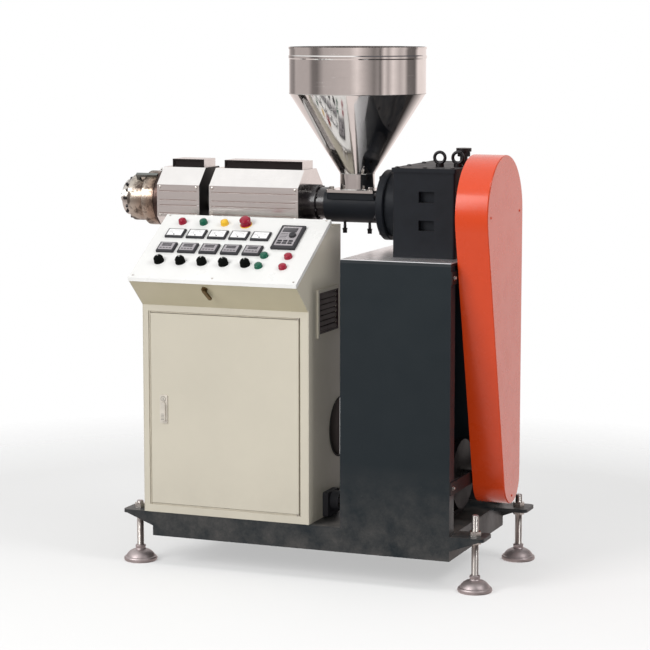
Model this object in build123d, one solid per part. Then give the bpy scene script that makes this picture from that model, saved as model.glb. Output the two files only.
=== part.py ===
from build123d import *
import math
import os

# A small single-screw plastic extruder on a welded base with four levelling feet.
# Sizes are millimetres. They are measured from the base's front left corner on the floor:
# +X runs along the barrel from the die to the belt guard, +Y goes back, +Z goes up.
# The finished machine is moved so that its origin is under the middle of its footprint.

# Base and feet. The base is as long and as deep as the cabinet, pedestal and gearbox need.
BASE_TOP = 160.0        # top of the deck above the floor
BASE_BEHIND = 54.0      # deck behind the gearbox
RAIL_H = 65.0           # height of the channel rails under the deck
RAIL_W = 40.0           # flange width of the channel rails
RAIL_T = 6.0            # thickness of rails and deck
EAR_OUT = 98.0          # how far a corner ear stands out from the base end
EAR_D = 88.0            # depth of an ear
EAR_T = 10.0
EAR_CORNER = 14.0       # rounding of an ear's outer corners
GUSSET_DROP = 32.0      # how far a gusset reaches down below its ear
FOOT_OUT = 62.0         # foot centre beyond the base end
FOOT_IN = 44.0          # foot centre behind the base edge
FOOT_R = 49.0
FOOT_RIM = 14.0
FOOT_DOME = 20.0        # height of the foot's dome above its rim
FOOT_NECK = 13.0        # height of the socket between dome and stem
STEM_R = 9.5
NUT_AF = 30.0           # nut across flats
NUT_H = 13.0
STEM_LEFT = 8.0         # thread left above the top nut at the die end
STEM_RIGHT = (46.0, 24.0)   # the same at the drive end, front and back

# Drive pedestal
PED_W = 327.0           # width of the pedestal along the barrel
PED_TOP = 927.0         # top of its plate
PED_PLATE = 10.0
PED_T = 4.0             # pedestal sheet
PED_LIP = 38.0          # return flange round the open drive side
BAR_H = 36.0            # crossbars that carry the guard
BAR_T = 4.0
BAR_DOWN = 42.0         # upper crossbar below the pedestal's top
BAR_OVER = 6.0          # lower crossbar above the motor shaft
BOSS_R = 11.0

# Control cabinet with a sloping console
CAB_OUT = 26.0          # how far the cabinet stands out beyond the base's left end
CAB_W = 520.0
CAB_D = 249.0
CAB_GAP = 95.0          # free space between cabinet and pedestal
SHEET = 2.0
LIP_OUT = 94.0          # console lip in front of the cabinet front
LIP_Z = 860.0           # top of the lip
APRON_H = 88.0          # upright front ends this far below the lip
LID_RISE = 160.0        # lid's back edge above the lip
LID_T = 12.0
LID_SEAT = 0.5          # gap between the closed lid and the cabinet
SHELF_D = 76.0          # depth of the flat top behind the lid
SHELF_DROP = 18.0       # flat top below the lid's back edge
LID_HINGE_R = 4.0
LID_HINGE_L = 60.0
LID_HINGE_GAP = 5.0     # hinge axis behind the lid's back edge
LID_HINGE_INSET = 90.0  # hinge centre from the cabinet side
LID_HINGE_LEAF = 22.0

# Cabinet door
DOOR_LEFT = 24.0        # door edge from the cabinet's left side
DOOR_RIGHT = 31.0       # door edge from the cabinet's right side
DOOR_LOW = 28.0         # door edge above the deck
DOOR_HIGH = 24.0        # door edge below the top of the upright front
DOOR_T = 18.0
DOOR_GAP = 6.0
DOOR_EDGE_R = 3.0
DOOR_AXIS_IN = 5.0      # hinge axis inside the door's edge and face
PIN_R = 3.0
PIN_FREE = 0.3
LUG = 16.0              # width of the lugs that hold the hinge pins
LUG_H = 10.0
REBATE = 14.0           # strip behind the door's edge
LOCK_IN = 42.0          # lock centre from the door's left edge
LOCK_W = 24.0
LOCK_H = 84.0
LOCK_T = 4.0
LEVER_W = 14.0
LEVER_T = 6.0
KEY_R = 8.0

# Devices on the console: columns along X, rows up the slope from the lip
DEVICES = 5
COL_IN = 66.0           # first column from the cabinet's left side
COL_TO_KEYPAD = 87.0    # keypad centre from the last column
ROW_LIP = 82.0          # lowest row from the lip
ROW_BACK = 39.3         # highest row from the lid's back edge
METER_SHIFT = 6.5       # meters sit this far above an even spacing of the rows
METER_FREE = 11.5       # space between two meters
METER_H = 38.0
METER_OUT = 7.0         # bezel above the lid
METER_BODY = 34.0       # case behind the lid
CONTROL_FREE = 13.5
CONTROL_H = 42.0
CONTROL_OUT = 8.0
CONTROL_BODY = 55.0
KEYPAD = (74.0, 108.0, 9.0)
KEYPAD_IN = 97.0        # keypad centre from the cabinet's right side
KEYPAD_BACK = 98.3      # keypad centre from the lid's back edge
KEYPAD_BODY = 16.0
CASE_RIM = 4.0          # bezel beyond its case
BUTTON_OFF = (-44.0, 30.0)  # button columns from the keypad centre
BUTTON_DOWN = (34.0, 83.0)  # button rows below the keypad's lower edge
BUTTON_R = 11.0
LAMP_R = 11.0
KNOB_R = 14.0
STOP_R = 16.5
STUD_R = 9.0            # threaded stud of a lamp, button or switch behind the panel
STUD_L = 38.0
CUT_FREE = 0.3          # clearance round a device in its cut-out

# Latch on the apron
LATCH_IN = 231.0        # latch centre from the cabinet's left side
LATCH_DOWN = 22.0       # latch centre below the lip, along the apron
LATCH_R = 9.0
LATCH_OUT = 6.0
HANDLE = (10.0, 46.0, 6.0)
HANDLE_DOWN = 18.0      # handle centre below the latch centre
HANDLE_TURN = 10.0

# Side vent, cable notch and power inlet on the cabinet's right side
VENT_BACK = 21.0        # vent edge from the cabinet's back
VENT_W = 166.0
VENT_DOWN = 174.0       # vent edge below the flat top
VENT_H = 138.0
VENT_RIM = 10.0
VENT_T = 5.0
LOUVRE_RIM = 5.0
SLATS = 7
NOTCH_R = 88.0
NOTCH_UP = 246.0        # notch centre above the deck
INLET_BACK = 99.0       # inlet centre from the cabinet's back
INLET_UP = 45.0         # inlet centre above the deck
INLET_R = 29.0
INLET_L = 42.0
INLET_WALL = 4.0

# Heater covers, barrel, feed throat: placed one after another from the gearbox to the die
COVER_R = 98.0          # centre to flat of the octagonal covers
COVER_BEHIND = 8.0      # covers behind the cabinet's back
COVER_CHAMFER = 50.0
COVER_T = 1.5
COVER_GAP = 32.0        # gap between the two covers
HOPPER_COVER_L = 286.0
DIE_COVER_L = 139.0
COVER_OVER = 37.0       # how far the cover reaches over the barrel flange
GROOVES = (29.0, 3.0, -13.0, -37.0)   # pressed lines on the cover sides, from the axis
GROOVE_W = 3.0
GROOVE_DEEP = 0.8
GROOVE_END = 8.0
BARREL_R = 38.0
VENT_BOX_W = 82.0
VENT_BOX_H = 24.0
VENT_BOX_END = (26.0, 9.0)
VENT_BOX_SLOT = 15.0
VENT_BOX_RIM = 5.0
VENT_BOX_DEEP = 4.0
FLANGE_R = 54.0
FLANGE_L = 71.0
FLANGE_STEP = 7.0
FLANGE_RING_L = 28.0
THROAT_L = 179.0
THROAT_R = 55.0
THROAT_PAD_UP = 36.0    # machined top of the feed throat above the axis
THROAT_PAD_W = 116.0
NIPPLE_R = 4.0
NIPPLE_L = 32.0
NIPPLE_OFF = 39.0
NIPPLE_NUT = 10.0
FEED_HOLE = (60.0, 44.0)
FEED_DEEP = 46.0

# Die: each step is a radius and a length, from the cover to the outlet
DIE_GAP = 1.0           # flange face to the cover end
DIE_FLANGE = (88.0, 18.0)
DIE_COLLAR = (78.0, 46.0)
DIE_BODY = (70.0, 50.0)
DIE_RING = (54.0, 25.0)
NOZZLE = (17.0, 22.0)
DIE_BORE_R = 9.0
DIE_BORE_L = 30.0
DIE_EDGE = 2.0
BAND_T = 4.0
BAND_IN = 4.0           # band edge from the collar's edge
BAND_SPLIT = 4.0        # open joint of the band, closed by its clamp bar
CLAMP_ANGLE = 56.0      # place of the clamp bar round the band, up from the front
CLAMP = (71.0, 10.0, 8.0)
CLAMP_IN = 2.0          # clamp bar's end from the collar's edge
DIE_BOLTS = 8
DIE_BOLT_R = 5.0
DIE_BOLT_H = 8.0
DIE_SCREW_R = 4.5
DIE_SCREW_OUT = 7.0     # adjusting screws above the step that they sit in

# Hopper
HOPPER_BEFORE = 92.0    # hopper centre in front of the thrust housing, along the barrel
NECK_R = 51.0
NECK_H = 46.0
CONE_H = 234.0
HOPPER_R = 200.0
DRUM_H = 135.0
HOPPER_T = 2.0
BEAD_DOWN = 29.0        # bead below the rim
BEAD_H = 12.0
BEAD_OUT = 2.0
RIM_H = 6.0
HFLANGE_T = 8.0
HFLANGE = (150.0, 130.0)
HFLANGE_R = 6.0

# Gearbox with its thrust housing
GEAR_L = 183.0
GEAR_D = 350.0
GEAR_H = 252.0
GEAR_IN = 26.0          # gearbox side from the pedestal's drive side
GEAR_BACK = 99.0        # gearbox back behind the barrel axis
GEAR_LID = 12.0
GEAR_LID_OUT = 4.0
GEAR_EDGE = 6.0
POCKET_W = 46.0
POCKET_IN = 77.0        # front pockets from the gearbox's left side
POCKETS = ((156.0, 31.0), (77.0, 29.0))   # bottom above the pedestal, and height
POCKET_DEEP = 20.0
THRUST_L = 109.0
THRUST_R = 103.0
THRUST_FREE = 23.0      # thrust housing above the pedestal
THRUST_IN = 11.0        # step of the housing's radius
THRUST_STEP = 24.0
EYE_AT = ((73.0, 86.0), (24.0, 101.0))    # from the gearbox's right side and front
EYE_R = 15.5
EYE_WIRE = 4.5
EYE_COLLAR = (12.0, 9.0)
EYE_UP = 6.0
BREATHER_AT = (38.0, 196.0)
BREATHER_R = 22.0
BREATHER_H = 48.0
BREATHER_NECK = 11.0

# Belt drive under its guard
DRIVE_IN = 64.0         # input shaft behind the gearbox's front
BELT_BACK = 89.0        # motor shaft behind the input shaft
MOTOR_UP = 129.0        # motor shaft above the deck
GUARD_GAP = 9.0         # guard beyond the base end
GUARD_T = 94.0
GUARD_R = 165.0
GUARD_LOW_R = 75.0
GUARD_SHEET = 2.5
GUARD_EDGE = 3.0
SHAFT_R = 19.0
MOTOR_SHAFT_R = 14.0
SHAFT_FREE = 4.0        # gap round a shaft in the guard
MOTOR_R = 98.0
MOTOR_IN = 44.0         # motor face from the pedestal's drive side
MOTOR_BEHIND = 33.0     # fan cowl from the pedestal's left side
MOTOR_COWL = 58.0
COWL_EDGE = 10.0
MOTOR_FACE = 14.0
MOTOR_FOOT_T = 14.0
FOOT_MARGIN = (20.0, 30.0)  # motor feet from the cowl and from the motor face
FINS = 26
FIN_H = 9.0
FIN_T = 3.2
FIN_END = 12.0

# Values that follow from the sizes above
cab_x0 = -CAB_OUT
cab_x1 = cab_x0 + CAB_W
ped_x0 = cab_x1 + CAB_GAP
base_l = ped_x0 + PED_W
ax_y = CAB_D + COVER_BEHIND + COVER_R
ax_z = PED_TOP + THRUST_FREE + THRUST_R
gear_y1 = ax_y + GEAR_BACK
gear_y0 = gear_y1 - GEAR_D
gear_x1 = base_l - GEAR_IN
gear_x0 = gear_x1 - GEAR_L
gear_top = PED_TOP + GEAR_H
base_d = gear_y1 + BASE_BEHIND
base_z0 = BASE_TOP - RAIL_T - RAIL_H

cab_front_top = LIP_Z - APRON_H
lid_back_y = CAB_D - SHELF_D
lid_back_z = LIP_Z + LID_RISE
shelf_z = lid_back_z - SHELF_DROP
lid_run = lid_back_y + LIP_OUT
lid_len = math.hypot(lid_run, LID_RISE)
lid_cos = lid_run / lid_len
lid_sin = LID_RISE / lid_len
console = Plane(origin=(0, -LIP_OUT, LIP_Z), x_dir=(1, 0, 0), z_dir=(0, -lid_sin, lid_cos))
lid_axis_y = lid_back_y + LID_T * lid_sin + LID_HINGE_GAP
lid_axis_z = lid_back_z - LID_T * lid_cos / 2

door_x0, door_x1 = cab_x0 + DOOR_LEFT, cab_x1 - DOOR_RIGHT
door_z0, door_z1 = BASE_TOP + DOOR_LOW, cab_front_top - DOOR_HIGH
hinge_x = door_x1 - DOOR_AXIS_IN

keypad_x = cab_x1 - KEYPAD_IN
keypad_s = lid_len - KEYPAD_BACK
col_pitch = (keypad_x - COL_TO_KEYPAD - cab_x0 - COL_IN) / (DEVICES - 1)
row_step = (lid_len - ROW_BACK - ROW_LIP) / 3
row_control = ROW_LIP + row_step
row_meter = ROW_LIP + 2 * row_step + METER_SHIFT
row_lamps = ROW_LIP + 3 * row_step
meter = (col_pitch - METER_FREE, METER_H, METER_OUT)
control = (col_pitch - CONTROL_FREE, CONTROL_H, CONTROL_OUT)

thrust_x0 = gear_x0 - THRUST_L
hopper_x = thrust_x0 - HOPPER_BEFORE
throat_x0 = thrust_x0 - THROAT_L
flange_x1 = throat_x0 - FLANGE_RING_L
flange_x0 = flange_x1 - FLANGE_L
covers_x1 = flange_x0 + COVER_OVER
covers_x0 = covers_x1 - HOPPER_COVER_L - COVER_GAP - DIE_COVER_L
pad_z = ax_z + THROAT_PAD_UP
flange_top = pad_z + HFLANGE_T
neck_top = flange_top + NECK_H
cone_top = neck_top + CONE_H
hopper_top = cone_top + DRUM_H

die_x1 = covers_x0 - DIE_GAP
collar_x1 = die_x1 - DIE_FLANGE[1]
body_x1 = collar_x1 - DIE_COLLAR[1]
ring_x1 = body_x1 - DIE_BODY[1]
nozzle_x1 = ring_x1 - DIE_RING[1]
die_x0 = nozzle_x1 - NOZZLE[1]

drive_y = gear_y0 + DRIVE_IN
motor_y = drive_y + BELT_BACK
motor_z = BASE_TOP + MOTOR_UP
motor_x0, motor_x1 = ped_x0 + MOTOR_BEHIND, base_l - MOTOR_IN
guard_x0 = base_l + GUARD_GAP
guard_x1 = guard_x0 + GUARD_T
mid_x = (die_x0 + max(guard_x1, base_l + FOOT_OUT + FOOT_R)) / 2
mid_y = (ax_y + HOPPER_R + BEAD_OUT - LIP_OUT) / 2

nodes = {}


def block(x0, x1, y0, y1, z0, z1):
    """A box between two corners."""
    return Pos((x0 + x1) / 2, (y0 + y1) / 2, (z0 + z1) / 2) * Box(x1 - x0, y1 - y0, z1 - z0)


def rod_x(x0, x1, y, z, r):
    """A round bar along X."""
    return Pos((x0 + x1) / 2, y, z) * Rot(0, 90, 0) * Cylinder(r, x1 - x0)


def rod_z(x, y, z0, z1, r):
    """A round bar along Z."""
    return Pos(x, y, (z0 + z1) / 2) * Cylinder(r, z1 - z0)


def prism_x(points, x0, x1):
    """A profile given as (y, z) corners, drawn out along X."""
    face = make_face(Plane.YZ.offset(x0) * Polyline(*points, close=True))
    return extrude(face, x1 - x0, dir=(1, 0, 0))


def turned_z(x, y, points):
    """A turned shape from its (radius, z) corners."""
    face = make_face(Plane.XZ * Polyline(*points, close=True))
    return Pos(x, y, 0) * revolve(face, Axis.Z)


def hex_z(x, y, z0, z1, across):
    """A hexagon along Z."""
    shape = RegularPolygon(across / 2, 6, major_radius=False)
    return Pos(x, y, z0) * extrude(shape, z1 - z0)


def joined(parts):
    """Several solids of one node that do not touch."""
    return Compound([s for p in parts for s in p.solids()])


def channel(side):
    """A channel rail along the base's front (side 0) or back (side 1), open to the inside."""
    face_y = 0.0 if side == 0 else base_d
    inward = 1 if side == 0 else -1
    z1 = BASE_TOP - RAIL_T
    y_out = sorted((face_y, face_y + inward * RAIL_W))
    outer = block(RAIL_T, base_l - RAIL_T, y_out[0], y_out[1], base_z0, z1)
    y_in = sorted((face_y + inward * RAIL_T, face_y + inward * (RAIL_W + 1)))
    return outer - block(0, base_l, y_in[0], y_in[1], base_z0 + RAIL_T, z1 - RAIL_T)


def foot_places():
    """Centres of the four levelling feet, the way their ears point and the thread above their nuts."""
    for x, out in ((-FOOT_OUT, -1), (base_l + FOOT_OUT, 1)):
        for y, front in ((FOOT_IN, 1), (base_d - FOOT_IN, -1)):
            above = STEM_LEFT if out < 0 else STEM_RIGHT[0 if front > 0 else 1]
            yield x, y, out, front, above


def ear(x, y, out, front):
    """A corner plate with a triangular gusset under its outer edge, and a hole for the foot."""
    root = 0.0 if out < 0 else base_l
    tip = root + out * EAR_OUT
    edge = 0.0 if front > 0 else base_d
    inner = edge + front * EAR_D
    z1 = BASE_TOP
    plate = block(min(root, tip), max(root, tip), min(edge, inner), max(edge, inner), z1 - EAR_T, z1)
    corners = plate.edges().filter_by(Axis.Z).sort_by(Axis.X)
    corners = corners[:2] if out < 0 else corners[-2:]
    plate = fillet(corners, EAR_CORNER)
    x_far = tip - out * EAR_CORNER
    tri = [(root, z1 - EAR_T), (x_far, z1 - EAR_T), (root, z1 - EAR_T - GUSSET_DROP)]
    face = make_face(Plane.XZ.offset(-edge) * Polyline(*tri, close=True))
    gusset = extrude(face, RAIL_T, dir=(0, front, 0))
    hole = rod_z(x, y, z1 - EAR_T - 1, z1 + 1, STEM_R + CUT_FREE)
    return plate + gusset - hole


def foot(x, y, above):
    """A cast levelling foot: rounded rim, dome, flared socket and threaded stem in one turned solid."""
    top = BASE_TOP + NUT_H + above
    neck_z = FOOT_RIM + FOOT_DOME
    socket_z = neck_z + FOOT_NECK
    socket_r = STEM_R + 5.0
    rim = Polyline((0, 0), (FOOT_R - 3, 0), (FOOT_R, 3), (FOOT_R, FOOT_RIM - 5), (FOOT_R - 2, FOOT_RIM - 1.5),
                   (FOOT_R - 6, FOOT_RIM))
    dome = ThreePointArc((FOOT_R - 6, FOOT_RIM), ((FOOT_R + socket_r) / 2, FOOT_RIM + FOOT_DOME * 0.68),
                         (socket_r + 2, neck_z))
    stem = Polyline((socket_r + 2, neck_z), (socket_r, neck_z + 3), (socket_r + 1, socket_z - 2),
                    (socket_r - 1, socket_z), (STEM_R, socket_z), (STEM_R, top - 2), (STEM_R - 2, top),
                    (0, top), (0, 0))
    face = make_face(Plane.XZ * (rim + dome + stem))
    return Pos(x, y, 0) * revolve(face, Axis.Z)


def make_base():
    """Rails between end plates, deck, ears, feet and their nuts."""
    nodes["base_long_rails"] = joined([channel(0), channel(1)])
    z1 = BASE_TOP - RAIL_T
    ends = [block(x, x + RAIL_T, 0, base_d, base_z0, z1) for x in (0, base_l - RAIL_T)]
    nodes["base_end_plates"] = joined(ends)
    nodes["base_deck"] = block(0, base_l, 0, base_d, z1, BASE_TOP)
    nodes["corner_ears"] = joined([ear(x, y, out, front) for x, y, out, front, above in foot_places()])
    nodes["levelling_feet"] = joined([foot(x, y, above) for x, y, out, front, above in foot_places()])
    nuts = []
    for x, y, out, front, above in foot_places():
        bore = rod_z(x, y, 0, BASE_TOP * 2, STEM_R)
        for low in (BASE_TOP - EAR_T - NUT_H, BASE_TOP):
            nuts.append(hex_z(x, y, low, low + NUT_H, NUT_AF) - bore)
    nodes["foot_nuts"] = joined(nuts)


def make_pedestal():
    """The drive stand: a sheet box that is open on the drive side, under a thick machined plate."""
    z0, z1 = BASE_TOP, PED_TOP - PED_PLATE
    for name, y0, y1, lip_y in (("pedestal_front_panel", 0, PED_T, (0, PED_LIP)),
                                ("pedestal_back_panel", base_d - PED_T, base_d, (base_d - PED_LIP, base_d))):
        flat = block(ped_x0, base_l, y0, y1, z0, z1)
        lip = block(base_l - PED_T, base_l, lip_y[0], lip_y[1], z0, z1)
        nodes[name] = flat + lip
    nodes["pedestal_left_panel"] = block(ped_x0, ped_x0 + PED_T, PED_T, base_d - PED_T, z0, z1)
    plate = block(ped_x0, base_l, 0, base_d, z1, PED_TOP)
    nodes["pedestal_top_plate"] = chamfer(plate.edges().group_by(Axis.Z)[-1], 1.5)
    bars = []
    for z in (PED_TOP - BAR_DOWN, motor_z + BAR_OVER):
        bar = block(base_l, base_l + BAR_T, 0, base_d, z - BAR_H / 2, z + BAR_H / 2)
        for y in guard_span(z):
            bar += rod_x(base_l + BAR_T, guard_x0, y, z, BOSS_R)
        bar -= rod_x(base_l - 1, base_l + BAR_T + 1, motor_y, motor_z, MOTOR_SHAFT_R + SHAFT_FREE)
        bars.append(bar)
    nodes["guard_crossbars"] = joined(bars)


def side_outline():
    """The cabinet side: upright front, raking apron, sloping top under the lid and flat shelf."""
    drop = LID_T + LID_SEAT
    y_lip = -LIP_OUT + drop * lid_sin
    z_lip = LIP_Z - drop * lid_cos
    y_end = lid_back_y - LID_HINGE_GAP
    z_end = z_lip + (y_end - y_lip) * LID_RISE / lid_run
    return [(0, BASE_TOP), (0, cab_front_top), (y_lip, z_lip), (y_end, z_end),
            (y_end, shelf_z), (CAB_D, shelf_z), (CAB_D, BASE_TOP)]


def vent_box(inset):
    """The side vent's outline, drawn in by an inset, as (y0, y1, z0, z1)."""
    y1 = CAB_D - VENT_BACK
    z1 = shelf_z - VENT_DOWN
    return (y1 - VENT_W + inset, y1 - inset, z1 - VENT_H + inset, z1 - inset)


def make_cabinet():
    """The hollow cabinet, from flat sheets welded at their edges."""
    outline = side_outline()
    left = prism_x(outline, cab_x0, cab_x0 + SHEET)
    right = prism_x(outline, cab_x1 - SHEET, cab_x1)
    right -= block(cab_x1 - SHEET - 1, cab_x1 + 1, *vent_box(VENT_RIM + LOUVRE_RIM))
    right -= rod_x(cab_x1 - SHEET - 1, cab_x1 + 1, CAB_D, BASE_TOP + NOTCH_UP, NOTCH_R)
    nodes["cabinet_side_panels"] = joined([left, right])
    xi0, xi1 = cab_x0 + SHEET, cab_x1 - SHEET
    nodes["cabinet_back_panel"] = block(xi0, xi1, CAB_D - SHEET, CAB_D, BASE_TOP, shelf_z)
    nodes["cabinet_floor"] = block(xi0, xi1, SHEET, CAB_D - SHEET, BASE_TOP, BASE_TOP + SHEET)
    shelf_y = outline[4][0]
    nodes["cabinet_top_shelf"] = block(xi0, xi1, shelf_y, CAB_D - SHEET, shelf_z - SHEET, shelf_z)
    y_lip, z_lip = outline[2]
    slope = math.hypot(y_lip, z_lip - cab_front_top)
    ny, nz = (z_lip - cab_front_top) / slope * SHEET, -y_lip / slope * SHEET
    apron = [(0, cab_front_top), (y_lip, z_lip), (y_lip + ny, z_lip + nz * 0.2), (ny, cab_front_top + nz)]
    nodes["console_apron"] = prism_x(apron, xi0, xi1)

    x0, x1 = door_x0 - DOOR_GAP, door_x1 + DOOR_GAP
    z0, z1 = door_z0 - DOOR_GAP, door_z1 + DOOR_GAP
    deep = DOOR_T + SHEET + LID_SEAT
    frame = block(xi0, xi1, 0, SHEET, BASE_TOP, cab_front_top) - block(x0, x1, -1, SHEET + 1, z0, z1)
    jamb = block(x0 - SHEET, x1 + SHEET, SHEET, deep, z0 - SHEET, z1 + SHEET)
    frame += jamb - block(x0, x1, SHEET - 1, deep + 1, z0, z1)
    y_stop = DOOR_T + LID_SEAT
    stop_x1 = hinge_x - DOOR_GAP
    stop = block(x0, stop_x1, y_stop, deep, z0, z1)
    reach = DOOR_GAP + REBATE
    stop -= block(x0 + reach, stop_x1 + 1, y_stop - 1, deep + 1, z0 + reach, z1 - reach)

    lugs = []
    pins = []
    for z_edge, up in ((z1, 1), (z0, -1)):
        lug_z = sorted((z_edge + up * SHEET, z_edge + up * (SHEET + LUG_H)))
        lugs.append(block(hinge_x - LUG / 2, hinge_x + LUG / 2, SHEET, DOOR_T, lug_z[0], lug_z[1]))
        pin_z = sorted((z_edge + up * (SHEET + 1), z_edge - up * (DOOR_GAP + SHEET + 6)))
        pins.append(rod_z(hinge_x, DOOR_AXIS_IN, pin_z[0], pin_z[1], PIN_R))
    nodes["cabinet_front_frame"] = frame + stop - pins[0] - pins[1]
    nodes["door_hinge_pins"] = joined([lug + pin for lug, pin in zip(lugs, pins)])


def make_door():
    """A folded door leaf, 2 mm sheet with returned edges, and its lock with a swing lever."""
    leaf = block(door_x0, door_x1, 0, DOOR_T, door_z0, door_z1)
    leaf = fillet(leaf.edges().filter_by(Axis.Z).sort_by(Axis.Y)[:2], DOOR_EDGE_R)
    leaf -= block(door_x0 + SHEET, door_x1 - SHEET, SHEET, DOOR_T + 1, door_z0 + SHEET, door_z1 - SHEET)
    for z in (door_z0, door_z1):
        leaf -= rod_z(hinge_x, DOOR_AXIS_IN, z - 2 * SHEET, z + 2 * SHEET, PIN_R + PIN_FREE)
    nodes["cabinet_door"] = leaf

    x = door_x0 + LOCK_IN
    z = (door_z0 + door_z1) / 2
    plate = block(x - LOCK_W / 2, x + LOCK_W / 2, -LOCK_T, 0, z - LOCK_H / 2, z + LOCK_H / 2)
    plate = fillet(plate.edges().filter_by(Axis.Y), LOCK_W * 0.2)
    key_z = z + LOCK_H / 2 - LOCK_W / 2
    lever_z = (z - LOCK_H / 2 + LEVER_W / 2, key_z - KEY_R - 2)
    lever = block(x - LEVER_W / 2, x + LEVER_W / 2, -LOCK_T - LEVER_T, -LOCK_T, lever_z[0], lever_z[1])
    lever = fillet(lever.edges().filter_by(Axis.Y), LEVER_W * 0.28)
    key = Pos(x, -LOCK_T - 1, key_z) * Rot(90, 0, 0) * Cylinder(KEY_R, 2)
    nodes["door_lock"] = plate + lever + key


def on_console(x, s, h, shape):
    """Place a shape on the sloping lid: x across, s up the slope, h off its face."""
    return console * Pos(x, s, h) * shape


def device(x, s, size, body):
    """A bezel on the lid with its case behind the cut-out, narrower by a rim."""
    w, d, h = size
    bezel = Pos(0, 0, h / 2) * Box(w, d, h)
    bezel = chamfer(bezel.edges().group_by(Axis.Z)[-1], 1.5)
    case = Pos(0, 0, -body / 2) * Box(w - 2 * CASE_RIM, d - 2 * CASE_RIM, body)
    return on_console(x, s, 0, bezel + case)


def case_cut(x, s, size):
    """The cut-out in the lid for a device's case."""
    w, d, h = size
    free = 2 * (CUT_FREE - CASE_RIM)
    return on_console(x, s, -LID_T / 2, Box(w + free, d + free, LID_T + 2))


def stud_cut(x, s):
    """The round hole in the lid for a lamp, button or switch."""
    return on_console(x, s, -LID_T / 2, Cylinder(STUD_R + CUT_FREE, LID_T + 2))


def turned(x, s, profile):
    """A turned control on the lid from its (radius, height) outline, with its stud behind."""
    outline = [(0, -STUD_L), (STUD_R, -STUD_L), (STUD_R, 0)] + profile
    return on_console(x, s, 0, turned_z(0, 0, outline))


def make_lid(boxes, studs):
    """The folded lid with a cut-out for each device and the middle knuckles of its two hinges."""
    y1, z1 = lid_back_y, lid_back_z
    dy, dz = LID_T * lid_sin, LID_T * lid_cos
    outer = [(-LIP_OUT, LIP_Z), (y1, z1), (y1 + dy, z1 - dz), (-LIP_OUT + dy, LIP_Z - dz),
             (-LIP_OUT, LIP_Z - dz)]
    lid = prism_x(outer, cab_x0, cab_x1)
    rim = SHEET + 1.0
    hollow = Box(CAB_W - 2 * rim, lid_len - 2 * (rim + dy), LID_T)
    lid -= on_console((cab_x0 + cab_x1) / 2, lid_len / 2, -LID_T / 2 - SHEET, hollow)
    for x, s, size in boxes:
        lid -= case_cut(x, s, size)
    for x, s in studs:
        lid -= stud_cut(x, s)

    third = LID_HINGE_L / 3
    half = third / 2 - CUT_FREE
    pin_r = LID_HINGE_R / 2
    hinges = []
    for x in (cab_x0 + LID_HINGE_INSET, cab_x1 - LID_HINGE_INSET):
        lid += rod_x(x - half, x + half, lid_axis_y, lid_axis_z, LID_HINGE_R)
        lid += prism_x([(y1 + dy * 0.2, z1 - dz * 0.2), (lid_axis_y, lid_axis_z + LID_HINGE_R),
                        (lid_axis_y, lid_axis_z + LID_HINGE_R - SHEET), (y1 + dy * 0.5, z1 - dz * 0.5)],
                       x - half, x + half)
        lid -= rod_x(x - third, x + third, lid_axis_y, lid_axis_z, pin_r + CUT_FREE / 2)
        hinge = rod_x(x - LID_HINGE_L / 2, x + LID_HINGE_L / 2, lid_axis_y, lid_axis_z, pin_r)
        for side in (-1, 1):
            a, b = sorted((x + side * third / 2, x + side * LID_HINGE_L / 2))
            hinge += rod_x(a, b, lid_axis_y, lid_axis_z, LID_HINGE_R)
            hinge += block(a, b, lid_axis_y, lid_axis_y + LID_HINGE_R, shelf_z, lid_axis_z)
            hinge += block(a, b, lid_axis_y, lid_axis_y + LID_HINGE_LEAF, shelf_z, shelf_z + SHEET)
        hinges.append(hinge)
    nodes["console_lid"] = lid
    nodes["console_hinges"] = joined(hinges)


def make_console():
    """The hinged lid with its instruments, lamps and switches."""
    cols = [cab_x0 + COL_IN + i * col_pitch for i in range(DEVICES)]
    knobs = [(x, ROW_LIP) for x in cols]
    lamps = [(x, row_lamps) for x in cols[:-2]]
    stop = (cols[-2], row_lamps)
    buttons = [(keypad_x + dx, keypad_s - KEYPAD[1] / 2 - down) for dx in BUTTON_OFF for down in BUTTON_DOWN]
    meters = [(x, row_meter, meter) for x in cols]
    controls = [(x, row_control, control) for x in cols]
    make_lid(meters + controls + [(keypad_x, keypad_s, KEYPAD)], knobs + lamps + [stop] + buttons)

    nodes["panel_meters"] = joined([device(x, s, size, METER_BODY) for x, s, size in meters])
    nodes["temperature_controllers"] = joined([device(x, s, size, CONTROL_BODY) for x, s, size in controls])
    nodes["drive_keypad"] = device(keypad_x, keypad_s, KEYPAD, KEYPAD_BODY)
    r = KNOB_R
    knob = [(r + 1, 0), (r + 1, 2), (r, 3), (r - 1, 14), (r - 4, 18), (r - 9, 20), (0, 20)]
    nodes["selector_knobs"] = joined([turned(x, s, knob) for x, s in knobs])
    r = LAMP_R
    lamp = [(r + 1, 0), (r + 1, 2), (r, 3), (r, 9), (r - 3, 13), (0, 15)]
    nodes["indicator_lamps"] = joined([turned(x, s, lamp) for x, s in lamps])
    r = STOP_R
    mushroom = [(r, 0), (r, 3), (r - 5, 4), (r - 5, 12), (r, 15), (r, 19), (r - 4, 24), (0, 26)]
    nodes["emergency_stop"] = turned(stop[0], stop[1], mushroom)
    r = BUTTON_R
    button = [(r + 1, 0), (r + 1, 2), (r, 3), (r, 8), (r - 2, 10), (0, 10)]
    nodes["push_buttons"] = joined([turned(x, s, button) for x, s in buttons])


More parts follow.
